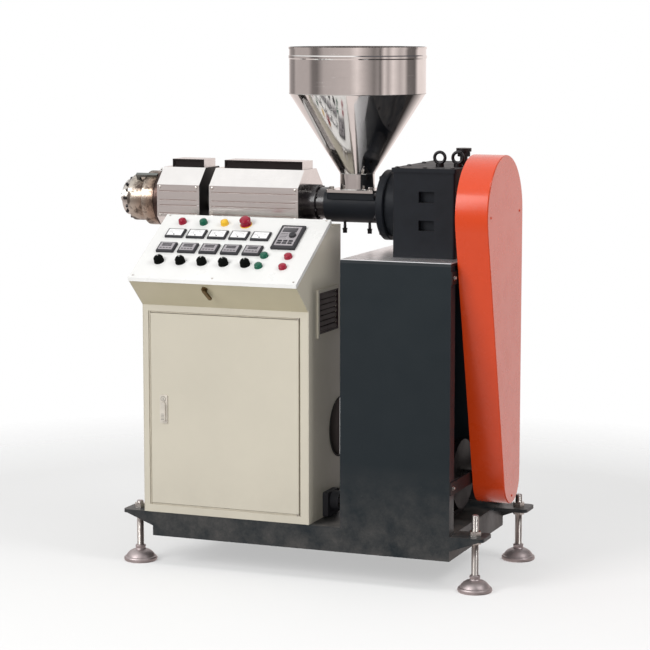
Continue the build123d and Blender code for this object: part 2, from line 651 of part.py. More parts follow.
def make_vent():
    """The side vent: a raised outer frame round a louvred insert."""
    y0, y1, z0, z1 = vent_box(VENT_RIM)
    rim = block(cab_x1, cab_x1 + VENT_T, *vent_box(0)) - block(cab_x1 - 1, cab_x1 + VENT_T + 1, y0, y1, z0, z1)
    inner = vent_box(VENT_RIM + LOUVRE_RIM)
    low_t = VENT_T - 1.5
    rim += block(cab_x1, cab_x1 + low_t, y0, y1, z0, z1) - block(cab_x1 - 1, cab_x1 + VENT_T, *inner)
    y0, y1, z0, z1 = inner
    pitch = (z1 - z0) / SLATS
    xa, xb = cab_x1 + 0.5, cab_x1 + low_t
    for i in range(SLATS):
        z = z0 + (i + 0.5) * pitch
        rise = pitch * 0.3
        slat = [(xb, z - rise - 1), (xb, z - rise + 1), (xa, z + rise + 1), (xa, z + rise - 1)]
        face = make_face(Plane.XZ.offset(-(y0 - SHEET)) * Polyline(*slat, close=True))
        rim += extrude(face, y1 - y0 + 2 * SHEET, dir=(0, 1, 0))
    nodes["side_vent"] = rim


def make_inlet():
    """The power inlet: a rounded body on the cabinet side with an open socket."""
    y = CAB_D - INLET_BACK
    z = BASE_TOP + INLET_UP
    root, mid, tip = cab_x1 + INLET_L * 0.4, cab_x1 + INLET_L * 0.6, cab_x1 + INLET_L
    body = block(cab_x1, root, y - INLET_R * 1.5, y + INLET_R * 1.5, BASE_TOP + SHEET, z + INLET_R)
    body = fillet(body.edges().filter_by(Axis.X), INLET_R * 0.2)
    socket = rod_x(root, tip, y, z, INLET_R) - rod_x(mid, tip + 1, y, z, INLET_R - INLET_WALL)
    nodes["power_inlet"] = body + socket


def make_latch():
    """The turning latch on the raking apron under the lip."""
    outline = side_outline()
    y_lip, z_lip = outline[2]
    tilt = math.atan2(z_lip - cab_front_top, -y_lip)
    apron = Plane(origin=(0, y_lip, z_lip), x_dir=(1, 0, 0), z_dir=(0, -math.sin(tilt), -math.cos(tilt)))
    latch = Pos(0, 0, LATCH_OUT / 2) * Cylinder(LATCH_R, LATCH_OUT)
    handle = fillet(Box(*HANDLE).edges().filter_by(Axis.Z), HANDLE[0] * 0.3)
    handle = Rot(0, 0, HANDLE_TURN) * Pos(0, -HANDLE_DOWN, LATCH_OUT + HANDLE[2] / 2) * handle
    nodes["console_latch"] = apron * Pos(cab_x0 + LATCH_IN, -LATCH_DOWN, 0) * (latch + handle)


def octagon(radius):
    """Corners of the cover's octagon round the barrel axis, as (y, z)."""
    c = COVER_CHAMFER - (COVER_R - radius) * (2 - math.sqrt(2))
    r = radius
    pts = [(-r, -r + c), (-r, r - c), (-r + c, r), (r - c, r),
           (r, r - c), (r, -r + c), (r - c, -r), (-r + c, -r)]
    return [(ax_y + y, ax_z + z) for y, z in pts]


def make_covers():
    """Two octagonal heater covers with closed ends, pressed lines and a black vent box on top."""
    split = covers_x0 + DIE_COVER_L
    spans = (("die_side_cover", covers_x0, split, BARREL_R),
             ("hopper_side_cover", split + COVER_GAP, covers_x1, FLANGE_R))
    boxes = []
    for name, x0, x1, bore_r in spans:
        cover = prism_x(octagon(COVER_R), x0, x1)
        cover -= prism_x(octagon(COVER_R - COVER_T), x0 + COVER_T, x1 - COVER_T)
        cover -= rod_x(x0 - 1, x0 + COVER_T + 1, ax_y, ax_z, BARREL_R + CUT_FREE)
        cover -= rod_x(x1 - COVER_T - 1, x1 + 1, ax_y, ax_z, bore_r + CUT_FREE)
        for face_y, into in ((ax_y - COVER_R, 1), (ax_y + COVER_R, -1)):
            y0, y1 = sorted((face_y - into, face_y + into * GROOVE_DEEP))
            for g in GROOVES:
                z = ax_z + g
                cover -= block(x0 + GROOVE_END, x1 - GROOVE_END, y0, y1, z - GROOVE_W / 2, z + GROOVE_W / 2)
        nodes[name] = cover
        top = ax_z + COVER_R
        a, b = x0 + VENT_BOX_END[0], x1 - VENT_BOX_END[1]
        half = VENT_BOX_W / 2
        slot_z = (top + (VENT_BOX_H - VENT_BOX_SLOT) / 2, top + (VENT_BOX_H + VENT_BOX_SLOT) / 2)
        box = block(a, b, ax_y - half, ax_y + half, top, top + VENT_BOX_H)
        for side in (-1, 1):
            y0, y1 = sorted((ax_y + side * (half - VENT_BOX_DEEP), ax_y + side * (half + 1)))
            box -= block(a + VENT_BOX_RIM, b - VENT_BOX_RIM, y0, y1, slot_z[0], slot_z[1])
        boxes.append(box)
    nodes["vent_boxes"] = joined(boxes)


def make_barrel():
    """The barrel, its flange, the feed throat casting and the cooling nipples."""
    nodes["barrel"] = rod_x(die_x1, flange_x0, ax_y, ax_z, BARREL_R)
    flange = chamfer(rod_x(flange_x0, flange_x1, ax_y, ax_z, FLANGE_R).edges(), 2)
    nodes["barrel_flange"] = flange + rod_x(flange_x1, throat_x0, ax_y, ax_z, FLANGE_R - FLANGE_STEP)
    body = rod_x(throat_x0, thrust_x0, ax_y, ax_z, THROAT_R)
    half = THROAT_PAD_W / 2
    pad = block(hopper_x - HFLANGE[0] / 2, hopper_x + HFLANGE[0] / 2, ax_y - half, ax_y + half,
                ax_z + THROAT_R * 0.3, pad_z)
    body += fillet(pad.edges().filter_by(Axis.Z), HFLANGE_R)
    body -= block(throat_x0 - 1, thrust_x0 + 1, ax_y - half, ax_y + half, pad_z, pad_z + THROAT_R)
    body -= block(hopper_x - FEED_HOLE[0] / 2, hopper_x + FEED_HOLE[0] / 2, ax_y - FEED_HOLE[1] / 2,
                  ax_y + FEED_HOLE[1] / 2, pad_z - FEED_DEEP, pad_z + 1)
    nodes["feed_throat"] = body
    nipples = []
    z1 = ax_z - THROAT_R
    for x in (hopper_x - NIPPLE_OFF, hopper_x + NIPPLE_OFF):
        stem = rod_z(x, ax_y, z1 - NIPPLE_L, z1 + NIPPLE_R, NIPPLE_R)
        stem -= rod_x(throat_x0, thrust_x0, ax_y, ax_z, THROAT_R)
        nipples.append(stem + rod_z(x, ax_y, z1 - NIPPLE_L, z1 - NIPPLE_L + NIPPLE_NUT, NIPPLE_R + 2.5))
    nodes["cooling_nipples"] = joined(nipples)


def make_die():
    """The stepped die with its heater band, the band's clamp bar, bolts and adjusting screws."""
    nodes["die_flange"] = chamfer(rod_x(collar_x1, die_x1, ax_y, ax_z, DIE_FLANGE[0]).edges(), 1.5)
    profile = [(collar_x1, 0)]
    for x0, x1, r in ((collar_x1, body_x1, DIE_COLLAR[0]), (body_x1, ring_x1, DIE_BODY[0]),
                      (ring_x1, nozzle_x1, DIE_RING[0]), (nozzle_x1, die_x0, NOZZLE[0])):
        profile += [(x0, r), (x1 + DIE_EDGE, r), (x1, r - DIE_EDGE)]
    profile.append((die_x0, 0))
    face = make_face(Plane.XY * Polyline(*profile, close=True))
    body = Pos(0, ax_y, ax_z) * revolve(face, Axis.X)
    nodes["die_body"] = body - rod_x(die_x0 - 1, die_x0 + DIE_BORE_L, ax_y, ax_z, DIE_BORE_R)

    band_r = DIE_COLLAR[0] + BAND_T
    turn = Pos(0, ax_y, ax_z) * Rot(-CLAMP_ANGLE, 0, 0)
    b0, b1 = body_x1 + BAND_IN, collar_x1 - BAND_IN
    band = rod_x(b0, b1, ax_y, ax_z, band_r) - rod_x(b0 - 1, b1 + 1, ax_y, ax_z, DIE_COLLAR[0])
    band -= turn * block(b0 - 1, b1 + 1, -band_r - 1, -DIE_COLLAR[0] + 2, -BAND_SPLIT / 2, BAND_SPLIT / 2)
    nodes["die_heater_band"] = band
    length, width, height = CLAMP
    c1 = collar_x1 - CLAMP_IN
    c0 = c1 - length
    bar = turn * block(c0, c1, -band_r - height, -band_r + 1, -width / 2, width / 2)
    bar += turn * block(c0, c0 + width, -band_r, -DIE_BODY[0] + 1, -width / 2, width / 2)
    bar -= rod_x(b0, b1, ax_y, ax_z, band_r)
    nodes["die_bracket"] = bar - rod_x(ring_x1, body_x1 + 1, ax_y, ax_z, DIE_BODY[0])

    bolts = []
    bolt_r = (DIE_BODY[0] + DIE_RING[0]) / 2
    screw_x = (ring_x1 + nozzle_x1) / 2
    ring = rod_x(nozzle_x1, ring_x1, ax_y, ax_z, DIE_RING[0])
    for i in range(DIE_BOLTS):
        a = math.radians(360 / DIE_BOLTS * (i + 0.5))
        bolts.append(rod_x(ring_x1 - DIE_BOLT_H, ring_x1, ax_y + bolt_r * math.cos(a),
                           ax_z + bolt_r * math.sin(a), DIE_BOLT_R))
        screw = rod_z(screw_x, 0, DIE_RING[0] - 2, DIE_RING[0] + DIE_SCREW_OUT, DIE_SCREW_R)
        bolts.append(Pos(0, ax_y, ax_z) * Rot(360 / DIE_BOLTS * i, 0, 0) * screw - ring)
    nodes["die_bolts"] = joined(bolts)


def make_hopper():
    """A turned sheet hopper: neck with its flange, cone, and drum with a swaged bead and a rolled rim."""
    t = HOPPER_T
    plate = block(hopper_x - HFLANGE[0] / 2, hopper_x + HFLANGE[0] / 2, ax_y - HFLANGE[1] / 2,
                  ax_y + HFLANGE[1] / 2, pad_z, flange_top)
    plate = fillet(plate.edges().filter_by(Axis.Z), HFLANGE_R)
    neck = rod_z(hopper_x, ax_y, flange_top, neck_top, NECK_R)
    bore = rod_z(hopper_x, ax_y, pad_z - 1, neck_top + 1, NECK_R - t)
    nodes["hopper_neck"] = plate + neck - bore
    cone = [(NECK_R - t, neck_top), (NECK_R, neck_top), (HOPPER_R, cone_top), (HOPPER_R - t, cone_top)]
    nodes["hopper_cone"] = turned_z(hopper_x, ax_y, cone)
    z, h = hopper_top - BEAD_DOWN, BEAD_H / 2
    bead = [(0, z - h), (BEAD_OUT, z - h / 2), (BEAD_OUT, z + h / 2), (0, z + h)]
    outside = [(HOPPER_R + out, at) for out, at in bead]
    outside += [(HOPPER_R, hopper_top - RIM_H), (HOPPER_R + BEAD_OUT, hopper_top - RIM_H),
                (HOPPER_R + BEAD_OUT, hopper_top)]
    inside = [(HOPPER_R - t + out, at) for out, at in reversed(bead)]
    drum = [(HOPPER_R, cone_top)] + outside + [(HOPPER_R - t, hopper_top)] + inside + [(HOPPER_R - t, cone_top)]
    nodes["hopper_drum"] = turned_z(hopper_x, ax_y, drum)


def make_gearbox():
    """The gear case, its lid, the round thrust housing, lifting eyes and breather."""
    lid_z = gear_top - GEAR_LID
    case = block(gear_x0, gear_x1, gear_y0, gear_y1, PED_TOP, lid_z)
    case = fillet(case.edges().filter_by(Axis.Z), GEAR_EDGE)
    pocket_x = gear_x0 + POCKET_IN
    for up, h in POCKETS:
        case -= block(pocket_x, pocket_x + POCKET_W, gear_y0 - 1, gear_y0 + POCKET_DEEP,
                      PED_TOP + up, PED_TOP + up + h)
    nodes["gearbox_case"] = case
    out = GEAR_LID_OUT
    lid = block(gear_x0 - out, gear_x1 + out, gear_y0 - out, gear_y1 + out, lid_z, gear_top)
    nodes["gearbox_lid"] = fillet(lid.edges().filter_by(Axis.Z), GEAR_EDGE)
    housing = rod_x(thrust_x0, thrust_x0 + THRUST_STEP, ax_y, ax_z, THRUST_R)
    housing = chamfer(housing.edges(), 3)
    housing += rod_x(thrust_x0 + THRUST_STEP, gear_x0, ax_y, ax_z, THRUST_R - THRUST_IN)
    nodes["thrust_housing"] = housing
    eyes = []
    for back, behind in EYE_AT:
        x, y = gear_x1 - back, gear_y0 + behind
        ring = Pos(x, y, gear_top + EYE_UP + EYE_R + EYE_WIRE) * Rot(90, 0, 0) * Torus(EYE_R, EYE_WIRE)
        eyes.append(ring + rod_z(x, y, gear_top, gear_top + EYE_COLLAR[1], EYE_COLLAR[0]))
    nodes["lifting_eyes"] = joined(eyes)
    x, y = gear_x1 - BREATHER_AT[0], gear_y0 + BREATHER_AT[1]
    h = BREATHER_H
    breather = rod_z(x, y, gear_top, gear_top + h * 0.5, BREATHER_NECK)
    breather += rod_z(x, y, gear_top + h * 0.5, gear_top + h * 0.8, BREATHER_R - 5)
    breather += rod_z(x, y, gear_top + h * 0.8, gear_top + h, BREATHER_R)
    nodes["breather"] = breather


def guard_face(inset=0.0):
    """The guard's outline: two circles of unlike size joined by their outer tangents."""
    big = (drive_y, ax_z, GUARD_R - inset)
    small = (motor_y, motor_z, GUARD_LOW_R - inset)
    dy, dz = small[0] - big[0], small[1] - big[1]
    dist = math.hypot(dy, dz)
    along = math.atan2(dz, dy)
    spread = math.acos((big[2] - small[2]) / dist)
    ends = {}
    for side in (-1, 1):
        a = along + side * spread
        ends[side] = [(c[0] + c[2] * math.cos(a), c[1] + c[2] * math.sin(a)) for c in (big, small)]
    top = (big[0] - big[2] * math.cos(along), big[1] - big[2] * math.sin(along))
    low = (small[0] + small[2] * math.cos(along), small[1] + small[2] * math.sin(along))
    wire = Wire([
        Line(ends[1][1], ends[1][0]),
        ThreePointArc(ends[1][0], top, ends[-1][0]),
        Line(ends[-1][0], ends[-1][1]),
        ThreePointArc(ends[-1][1], low, ends[1][1]),
    ])
    return Plane.YZ * Face(wire)


def guard_span(z):
    """Y places on the guard's back, near its two edges at a height between its circles."""
    share = min(max((ax_z - z) / (ax_z - motor_z), 0.0), 1.0)
    mid = drive_y + (motor_y - drive_y) * share
    half = GUARD_R + (GUARD_LOW_R - GUARD_R) * share - 3 * BOSS_R
    return (mid - half, mid + half)


def make_guard():
    """The hollow belt guard: an outer shell with rounded edges over a back plate."""
    outer = Pos(guard_x0, 0, 0) * extrude(guard_face(), GUARD_T, dir=(1, 0, 0))
    outer = fillet(outer.faces().sort_by(Axis.X)[-1].edges(), GUARD_EDGE)
    inner = extrude(guard_face(GUARD_SHEET), GUARD_T - 2 * GUARD_SHEET, dir=(1, 0, 0))
    shell = outer - Pos(guard_x0 + GUARD_SHEET, 0, 0) * inner
    for y, z, r in ((drive_y, ax_z, SHAFT_R), (motor_y, motor_z, MOTOR_SHAFT_R)):
        shell -= rod_x(guard_x0 - 1, guard_x0 + GUARD_SHEET + 1, y, z, r + SHAFT_FREE)
    nodes["belt_guard"] = shell


def make_drive():
    """The motor in the pedestal and the two shafts that reach into the guard."""
    x0, x1 = motor_x0 + MOTOR_COWL, motor_x1
    core_r = MOTOR_R - FIN_H
    body = rod_x(x0, x1, motor_y, motor_z, core_r)
    fin = Box(x1 - x0 - 2 * FIN_END, FIN_T, FIN_H + 4)
    fin = Pos((x0 + x1) / 2, 0, core_r + FIN_H / 2 - 2) * fin
    for i in range(FINS):
        body += Pos(0, motor_y, motor_z) * Rot(360 / FINS * i, 0, 0) * fin
    body += rod_x(x1 - MOTOR_FACE, x1, motor_y, motor_z, MOTOR_R + 3)
    foot_top = BASE_TOP + MOTOR_FOOT_T
    f0, f1 = x0 + FOOT_MARGIN[0], x1 - FOOT_MARGIN[1]
    feet = block(f0, f1, motor_y - MOTOR_R, motor_y + MOTOR_R, BASE_TOP, foot_top)
    for side in (-1, 1):
        y0, y1 = sorted((motor_y + side * MOTOR_R * 0.55, motor_y + side * MOTOR_R * 0.75))
        feet += block(f0, f1, y0, y1, foot_top, motor_z - MOTOR_R * 0.55)
    nodes["motor"] = body + feet
    cowl = rod_x(motor_x0, x0, motor_y, motor_z, MOTOR_R + 2)
    nodes["motor_fan_cowl"] = fillet(cowl.edges().sort_by(Axis.X)[0], COWL_EDGE)
    belt_x = (guard_x0 + guard_x1) / 2
    nodes["drive_shafts"] = joined([rod_x(gear_x1, belt_x, drive_y, ax_z, SHAFT_R),
                                    rod_x(x1, belt_x, motor_y, motor_z, MOTOR_SHAFT_R)])


make_base()
make_pedestal()
make_cabinet()
make_door()
make_console()
make_vent()
make_inlet()
make_latch()
make_covers()
make_barrel()
make_die()
make_hopper()
make_gearbox()
make_guard()
make_drive()

os.makedirs("parts", exist_ok=True)
for name, shape in nodes.items():
    export_step(Pos(-mid_x, -mid_y, 0) * shape, f"parts/{name}.step")
print("origin moved by", -mid_x, -mid_y, "door axis", hinge_x - mid_x, DOOR_AXIS_IN - mid_y,
      "lid axis", lid_axis_y - mid_y, lid_axis_z, "nodes", len(nodes))
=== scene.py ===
import math
from functools import partial, wraps
from itertools import product

import bmesh
import bpy
from bpy.props import FloatProperty, FloatVectorProperty, IntProperty, PointerProperty
from mathutils import Matrix, Vector


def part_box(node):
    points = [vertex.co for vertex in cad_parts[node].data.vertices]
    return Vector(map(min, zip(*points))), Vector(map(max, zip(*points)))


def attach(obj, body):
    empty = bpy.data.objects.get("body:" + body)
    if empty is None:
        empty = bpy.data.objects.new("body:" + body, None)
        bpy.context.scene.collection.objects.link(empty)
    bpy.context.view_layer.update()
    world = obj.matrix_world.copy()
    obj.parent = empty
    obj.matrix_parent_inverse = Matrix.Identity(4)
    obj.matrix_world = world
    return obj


bl_info = {
    "name": "Plastic Extruder",
    "version": (1, 0, 0),
    "blender": (4, 5, 0),
    "location": "View3D > Sidebar > Extruder",
    "description": "Finishes and fine pieces of a small single-screw plastic extruder",
    "category": "Object",
}

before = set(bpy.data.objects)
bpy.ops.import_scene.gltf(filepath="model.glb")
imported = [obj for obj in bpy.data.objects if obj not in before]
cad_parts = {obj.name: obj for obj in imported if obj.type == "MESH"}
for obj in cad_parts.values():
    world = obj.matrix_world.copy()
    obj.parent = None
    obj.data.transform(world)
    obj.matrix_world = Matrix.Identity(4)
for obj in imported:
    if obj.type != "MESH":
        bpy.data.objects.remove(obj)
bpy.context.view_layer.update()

X, Y, Z = Vector((1, 0, 0)), Vector((0, 1, 0)), Vector((0, 0, 1))
UNDER = 0.0004  # how far an added piece is let into the face that carries it


def low(node):
    """Lowest corner of a CAD node."""
    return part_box(node)[0]


def high(node):
    """Highest corner of a CAD node."""
    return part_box(node)[1]


def middle(node):
    """Centre of a CAD node's box."""
    return (low(node) + high(node)) / 2


# Sizes and colours that a user may change

def colour_prop(name, text, value):
    """A colour with its description."""
    return FloatVectorProperty(name=name, description=text, subtype="COLOR", size=3, min=0, max=1,
                               default=value)


def length_prop(name, text, value):
    """A length in metres with its description."""
    return FloatProperty(name=name, description=text, subtype="DISTANCE", unit="LENGTH", default=value)


class ExtruderColours(bpy.types.PropertyGroup):
    """Colours of the finishes, as linear values."""

    cabinet: colour_prop("Cabinet", "Beige paint of the control cabinet", (0.600, 0.560, 0.465))
    # inside: painted shade, a dark tone for the cabinet's inner faces where the box lies in shade
    inside: colour_prop("Inside", "Dark primer on the cabinet's inner faces", (0.080, 0.066, 0.062))
    console: colour_prop("Console", "White paint of the sloping console", (0.800, 0.800, 0.785))
    stand: colour_prop("Stand", "Dark grey paint of the base and pedestal", (0.012, 0.018, 0.022))
    casting: colour_prop("Castings", "Dark paint of gearbox and feed throat", (0.008, 0.0095, 0.0125))
    guard: colour_prop("Guard", "Orange red paint of the belt guard", (0.660, 0.056, 0.008))
    stainless: colour_prop("Stainless", "Polished sheet of hopper and covers", (0.700, 0.680, 0.665))
    steel: colour_prop("Steel", "Machined steel", (0.480, 0.470, 0.450))
    plating: colour_prop("Plating", "Zinc plating of nuts and bolts", (0.560, 0.530, 0.500))
    feet: colour_prop("Feet", "Cast levelling feet", (0.360, 0.310, 0.310))
    plastic: colour_prop("Black plastic", "Moulded instrument cases", (0.006, 0.006, 0.007))
    red: colour_prop("Red caps", "Red lamp, buttons and stop button", (0.270, 0.010, 0.030))
    green: colour_prop("Green caps", "Green lamp and buttons", (0.004, 0.085, 0.048))
    yellow: colour_prop("Yellow caps", "Yellow lamp and the stop button's ring", (0.720, 0.430, 0.030))
    dust: colour_prop("Dust", "Workshop dust near the floor", (0.250, 0.222, 0.200))


class ExtruderSizes(bpy.types.PropertyGroup):
    """Sizes of the fine pieces."""

    slope: FloatProperty(name="Console slope", description="Angle of the console lid", subtype="ANGLE",
                         default=math.atan2(160.0, 267.0))
    lid: length_prop("Lid edge", "Thickness of the console lid", 0.012)
    sheet: length_prop("Sheet", "Thickness of the cabinet sheet", 0.002)
    columns: IntProperty(name="Columns", description="Columns of instruments", default=5, min=1)
    first_column: length_prop("First column", "First column from the cabinet's left side", 0.066)
    column_pitch: length_prop("Column pitch", "Distance between two columns", 0.0675)
    row_knobs: length_prop("Knob row", "Knobs, up the slope from the lip", 0.082)
    row_control: length_prop("Controller row", "Controllers, up the slope from the lip", 0.1453)
    row_meter: length_prop("Meter row", "Meters, up the slope from the lip", 0.2152)
    row_lamps: length_prop("Lamp row", "Lamps, up the slope from the lip", 0.272)
    keypad_across: length_prop("Keypad", "Keypad centre from the cabinet's left side", 0.423)
    keypad_up: length_prop("Keypad row", "Keypad centre, up the slope from the lip", 0.213)
    green_buttons: length_prop("Green buttons", "Green buttons, left of the keypad's middle", 0.044)
    red_buttons: length_prop("Red buttons", "Red buttons, right of the keypad's middle", 0.030)
    button_low: length_prop("Lower buttons", "Lower row of buttons, up the slope from the lip", 0.076)
    button_high: length_prop("Upper buttons", "Upper row of buttons, up the slope from the lip", 0.125)
    bolt: length_prop("Bolt head", "Width across flats of the flange bolts", 0.013)
    screw: length_prop("Cover screw", "Head of the cover screws", 0.008)
    thread: length_prop("Thread pitch", "Pitch of the levelling feet's thread", 0.0025)


class StageSettings(bpy.types.PropertyGroup):
    """Camera and lights."""

    eye: FloatVectorProperty(name="Eye", description="Camera place", subtype="TRANSLATION", size=3,
                             default=(2.5135, -6.1865, 1.599))
    aim: FloatVectorProperty(name="Aim", description="Point that the camera looks at", subtype="TRANSLATION",
                             size=3, default=(-0.0353, 0.2657, 0.6670))
    lens: FloatProperty(name="Lens", description="Focal length in millimetres", default=127.1)
    key: FloatProperty(name="Key light", description="Power of the key light in watts", default=210.0)
    top: FloatProperty(name="Top light", description="Power of the overhead light in watts", default=26.0)
    side: FloatProperty(name="Side light", description="Power of the lamp at the drive end in watts",
                        default=60.0)
    front: FloatProperty(name="Front light", description="Power of the low lamp in front in watts",
                         default=60.0)
    fill: FloatProperty(name="Fill", description="Strength of the room's light", default=0.36)


# Shader groups

class Shader:
    """Writes nodes into one node tree, from left to right."""

    first_x, step_x = -1600, 190

    def __init__(self, tree):
        self.tree = tree
        self.column = 0

    def node(self, kind, values=(), **settings):
        """Add a node, set its options, and link its inputs or set their values."""
        made = self.tree.nodes.new(kind)
        made.location = (self.first_x + self.column * self.step_x, 0)
        self.column += 1
        for name, value in settings.items():
            setattr(made, name, value)
        for socket, value in dict(values).items():
            if isinstance(value, bpy.types.NodeSocket):
                self.tree.links.new(value, made.inputs[socket])
            else:
                made.inputs[socket].default_value = value
        return made

    def math(self, operation, first, *more):
        """One value from several, with a Math node for each further one."""
        for value in more:
            first = self.node("ShaderNodeMath", {0: first, 1: value}, operation=operation).outputs[0]
        return first

    def vector(self, operation, a, b):
        """One Vector Math node's vector."""
        return self.node("ShaderNodeVectorMath", {0: a, 1: b}, operation=operation).outputs[0]

    def mix(self, factor, a, b):
        """Mixed colour. Sockets 6 and 7 are the node's colours A and B."""
        return self.node("ShaderNodeMix", {0: factor, 6: a, 7: b}, data_type="RGBA").outputs[2]

    def blend(self, factor, a, b):
        """Mixed value. Sockets 2 and 3 are the node's values A and B."""
        return self.node("ShaderNodeMix", {0: factor, 2: a, 3: b}, data_type="FLOAT").outputs[0]

    def band(self, value, start, end, to_low=0.0, to_high=1.0):
        """A value taken from one range to another."""
        names = {"Value": value, "From Min": start, "From Max": end, "To Min": to_low, "To Max": to_high}
        return self.node("ShaderNodeMapRange", names).outputs[0]

    def noise(self, where, scale, detail=2.0, rough=0.5):
        """Noise value."""
        names = {"Vector": where, "Scale": scale, "Detail": detail, "Roughness": rough}
        return self.node("ShaderNodeTexNoise", names).outputs["Fac"]

    def split(self, vector):
        """The three values of a vector."""
        return self.node("ShaderNodeSeparateXYZ", {0: vector}).outputs

    def object_place(self):
        """Object coordinates."""
        return self.node("ShaderNodeTexCoord").outputs["Object"]

    def ramp(self, value, stops):
        """Colours along a value, from (position, colour) stops."""
        made = self.node("ShaderNodeValToRGB", {0: value})
        elements = made.color_ramp.elements
        elements[0].position, elements[0].color = stops[0][0], rgba(stops[0][1])
        elements[1].position, elements[1].color = stops[-1][0], rgba(stops[-1][1])
        for position, colour in stops[1:-1]:
            elements.new(position).color = rgba(colour)
        return made.outputs["Color"]


def rgba(colour, scale=1.0):
    """A colour with full alpha, lighter or darker by a factor."""
    return tuple(min(1.0, c * scale) for c in colour) + (1.0,)


# Sockets of the groups with their defaults, and the kind of socket for a default of so many values
GREY = (0.5, 0.5, 0.5, 1.0)
TONE = {"Color": GREY, "Roughness": 0.5}
SKIN = {"Color": GREY, "Roughness": 0.5, "Height": 0.0}
MASK = {"Mask": 0.0}
KINDS = {1: "NodeSocketFloat", 3: "NodeSocketVector", 4: "NodeSocketColor"}


def build_group(name, inputs, outputs, fill):
    """A new shader group from its sockets and their defaults, and the function that writes its nodes."""
    tree = bpy.data.node_groups.new(name, "ShaderNodeTree")
    for way, sockets in (("INPUT", inputs), ("OUTPUT", outputs)):
        for label, value in sockets.items():
            parts = len(value) if isinstance(value, tuple) else 1
            made = tree.interface.new_socket(label, in_out=way, socket_type=KINDS[parts])
            made.default_value = value
    s = Shader(tree)
    entry = s.node("NodeGroupInput")
    s.node("NodeGroupOutput", fill(s, entry.outputs))
    return tree


def shader_group(name, outputs, **inputs):
    """Turn a function that writes nodes into one that places its group, built once, with given values."""
    def decorate(fill):
        @wraps(fill)
        def place_group(s, **values):
            tree = bpy.data.node_groups.get(name) or build_group(name, inputs, outputs, fill)
            return s.node("ShaderNodeGroup", values, node_tree=tree).outputs
        return place_group
    return decorate


@shader_group("sprayed enamel", SKIN, Paint=GREY, Shade=GREY, Under=GREY, Peel=420.0, Rub=0.5, Gloss=0.35)
def enamel_skin(s, given):
    """Sprayed enamel: slow changes of tone, orange peel and a few rubbed spots."""
    where = s.object_place()
    cloud = s.noise(where, scale=3.5, detail=4.0, rough=0.6)
    tone = s.mix(s.band(cloud, 0.35, 0.70), given["Paint"], given["Shade"])
    spots = s.band(s.noise(where, scale=90.0, detail=3.0, rough=0.7), 0.70, 0.76)
    rubbed = s.math("MULTIPLY", spots, given["Rub"], s.band(cloud, 0.45, 0.6))
    uneven = s.band(s.noise(where, scale=14.0, detail=5.0, rough=0.65), 0.3, 0.7, -0.05, 0.09)
    return {"Color": s.mix(rubbed, tone, given["Under"]),
            "Roughness": s.math("ADD", given["Gloss"], uneven, s.math("MULTIPLY", rubbed, 0.2)),
            "Height": s.math("SUBTRACT", s.noise(where, given["Peel"]), s.math("MULTIPLY", rubbed, 0.8))}


@shader_group("polished sheet", SKIN, Metal=GREY, Shade=GREY, Lines=(20.0, 20.0, 900.0), Polish=0.14,
              Wave=0.0)
def polish_skin(s, given):
    """Rolled and polished sheet: fine lines along one way, soft waves, faint smears and a few scratches."""
    where = s.object_place()
    drawn = s.vector("MULTIPLY", where, given["Lines"])
    line = s.noise(drawn, scale=1.0, detail=3.0, rough=0.6)
    smear = s.noise(where, scale=7.0, detail=5.0, rough=0.7)
    scratch = s.band(s.noise(drawn, scale=0.33, detail=1.0, rough=0.4), 0.70, 0.73)
    rough = s.math("ADD", given["Polish"], s.band(line, 0.25, 0.75, -0.03, 0.05),
                   s.band(smear, 0.35, 0.8, 0.0, 0.05), s.math("MULTIPLY", scratch, 0.1))
    wave = s.math("MULTIPLY", s.noise(where, scale=11.0, detail=1.0, rough=0.4), given["Wave"])
    fine = s.math("SUBTRACT", line, s.math("MULTIPLY", scratch, 0.5))
    return {"Color": s.mix(s.band(smear, 0.3, 0.75), given["Metal"], given["Shade"]),
            "Roughness": rough, "Height": s.math("ADD", fine, wave)}


@shader_group("casting skin", SKIN, Paint=GREY, Shade=GREY, Gloss=0.46)
def cast_skin(s, given):
    """Casting: sand grain, soft swells and pits."""
    where = s.object_place()
    grain = s.noise(where, scale=330.0, detail=3.0, rough=0.6)
    swell = s.noise(where, scale=24.0, detail=3.0)
    cells = s.node("ShaderNodeTexVoronoi", {"Vector": where, "Scale": 190.0}).outputs["Distance"]
    pits = s.band(cells, 0.0, 0.28)
    return {"Color": s.mix(s.band(swell, 0.3, 0.7), given["Paint"], given["Shade"]),
            "Roughness": s.math("ADD", given["Gloss"], s.band(swell, 0.2, 0.8, -0.08, 0.12)),
            "Height": s.math("ADD", s.math("MULTIPLY", grain, 0.5), swell, s.math("MULTIPLY", pits, 0.3))}


@shader_group("moulded plastic", SKIN, Plastic=GREY, Worn=GREY, Gloss=0.4)
def moulded_skin(s, given):
    """Moulded plastic: spark grain and finger marks."""
    where = s.object_place()
    touch = s.noise(where, scale=40.0, detail=4.0, rough=0.6)
    return {"Color": s.mix(s.band(touch, 0.35, 0.75), given["Plastic"], given["Worn"]),
            "Roughness": s.math("ADD", given["Gloss"], s.band(touch, 0.3, 0.7, -0.06, 0.08)),
            "Height": s.noise(where, scale=900.0, detail=2.0, rough=0.6)}


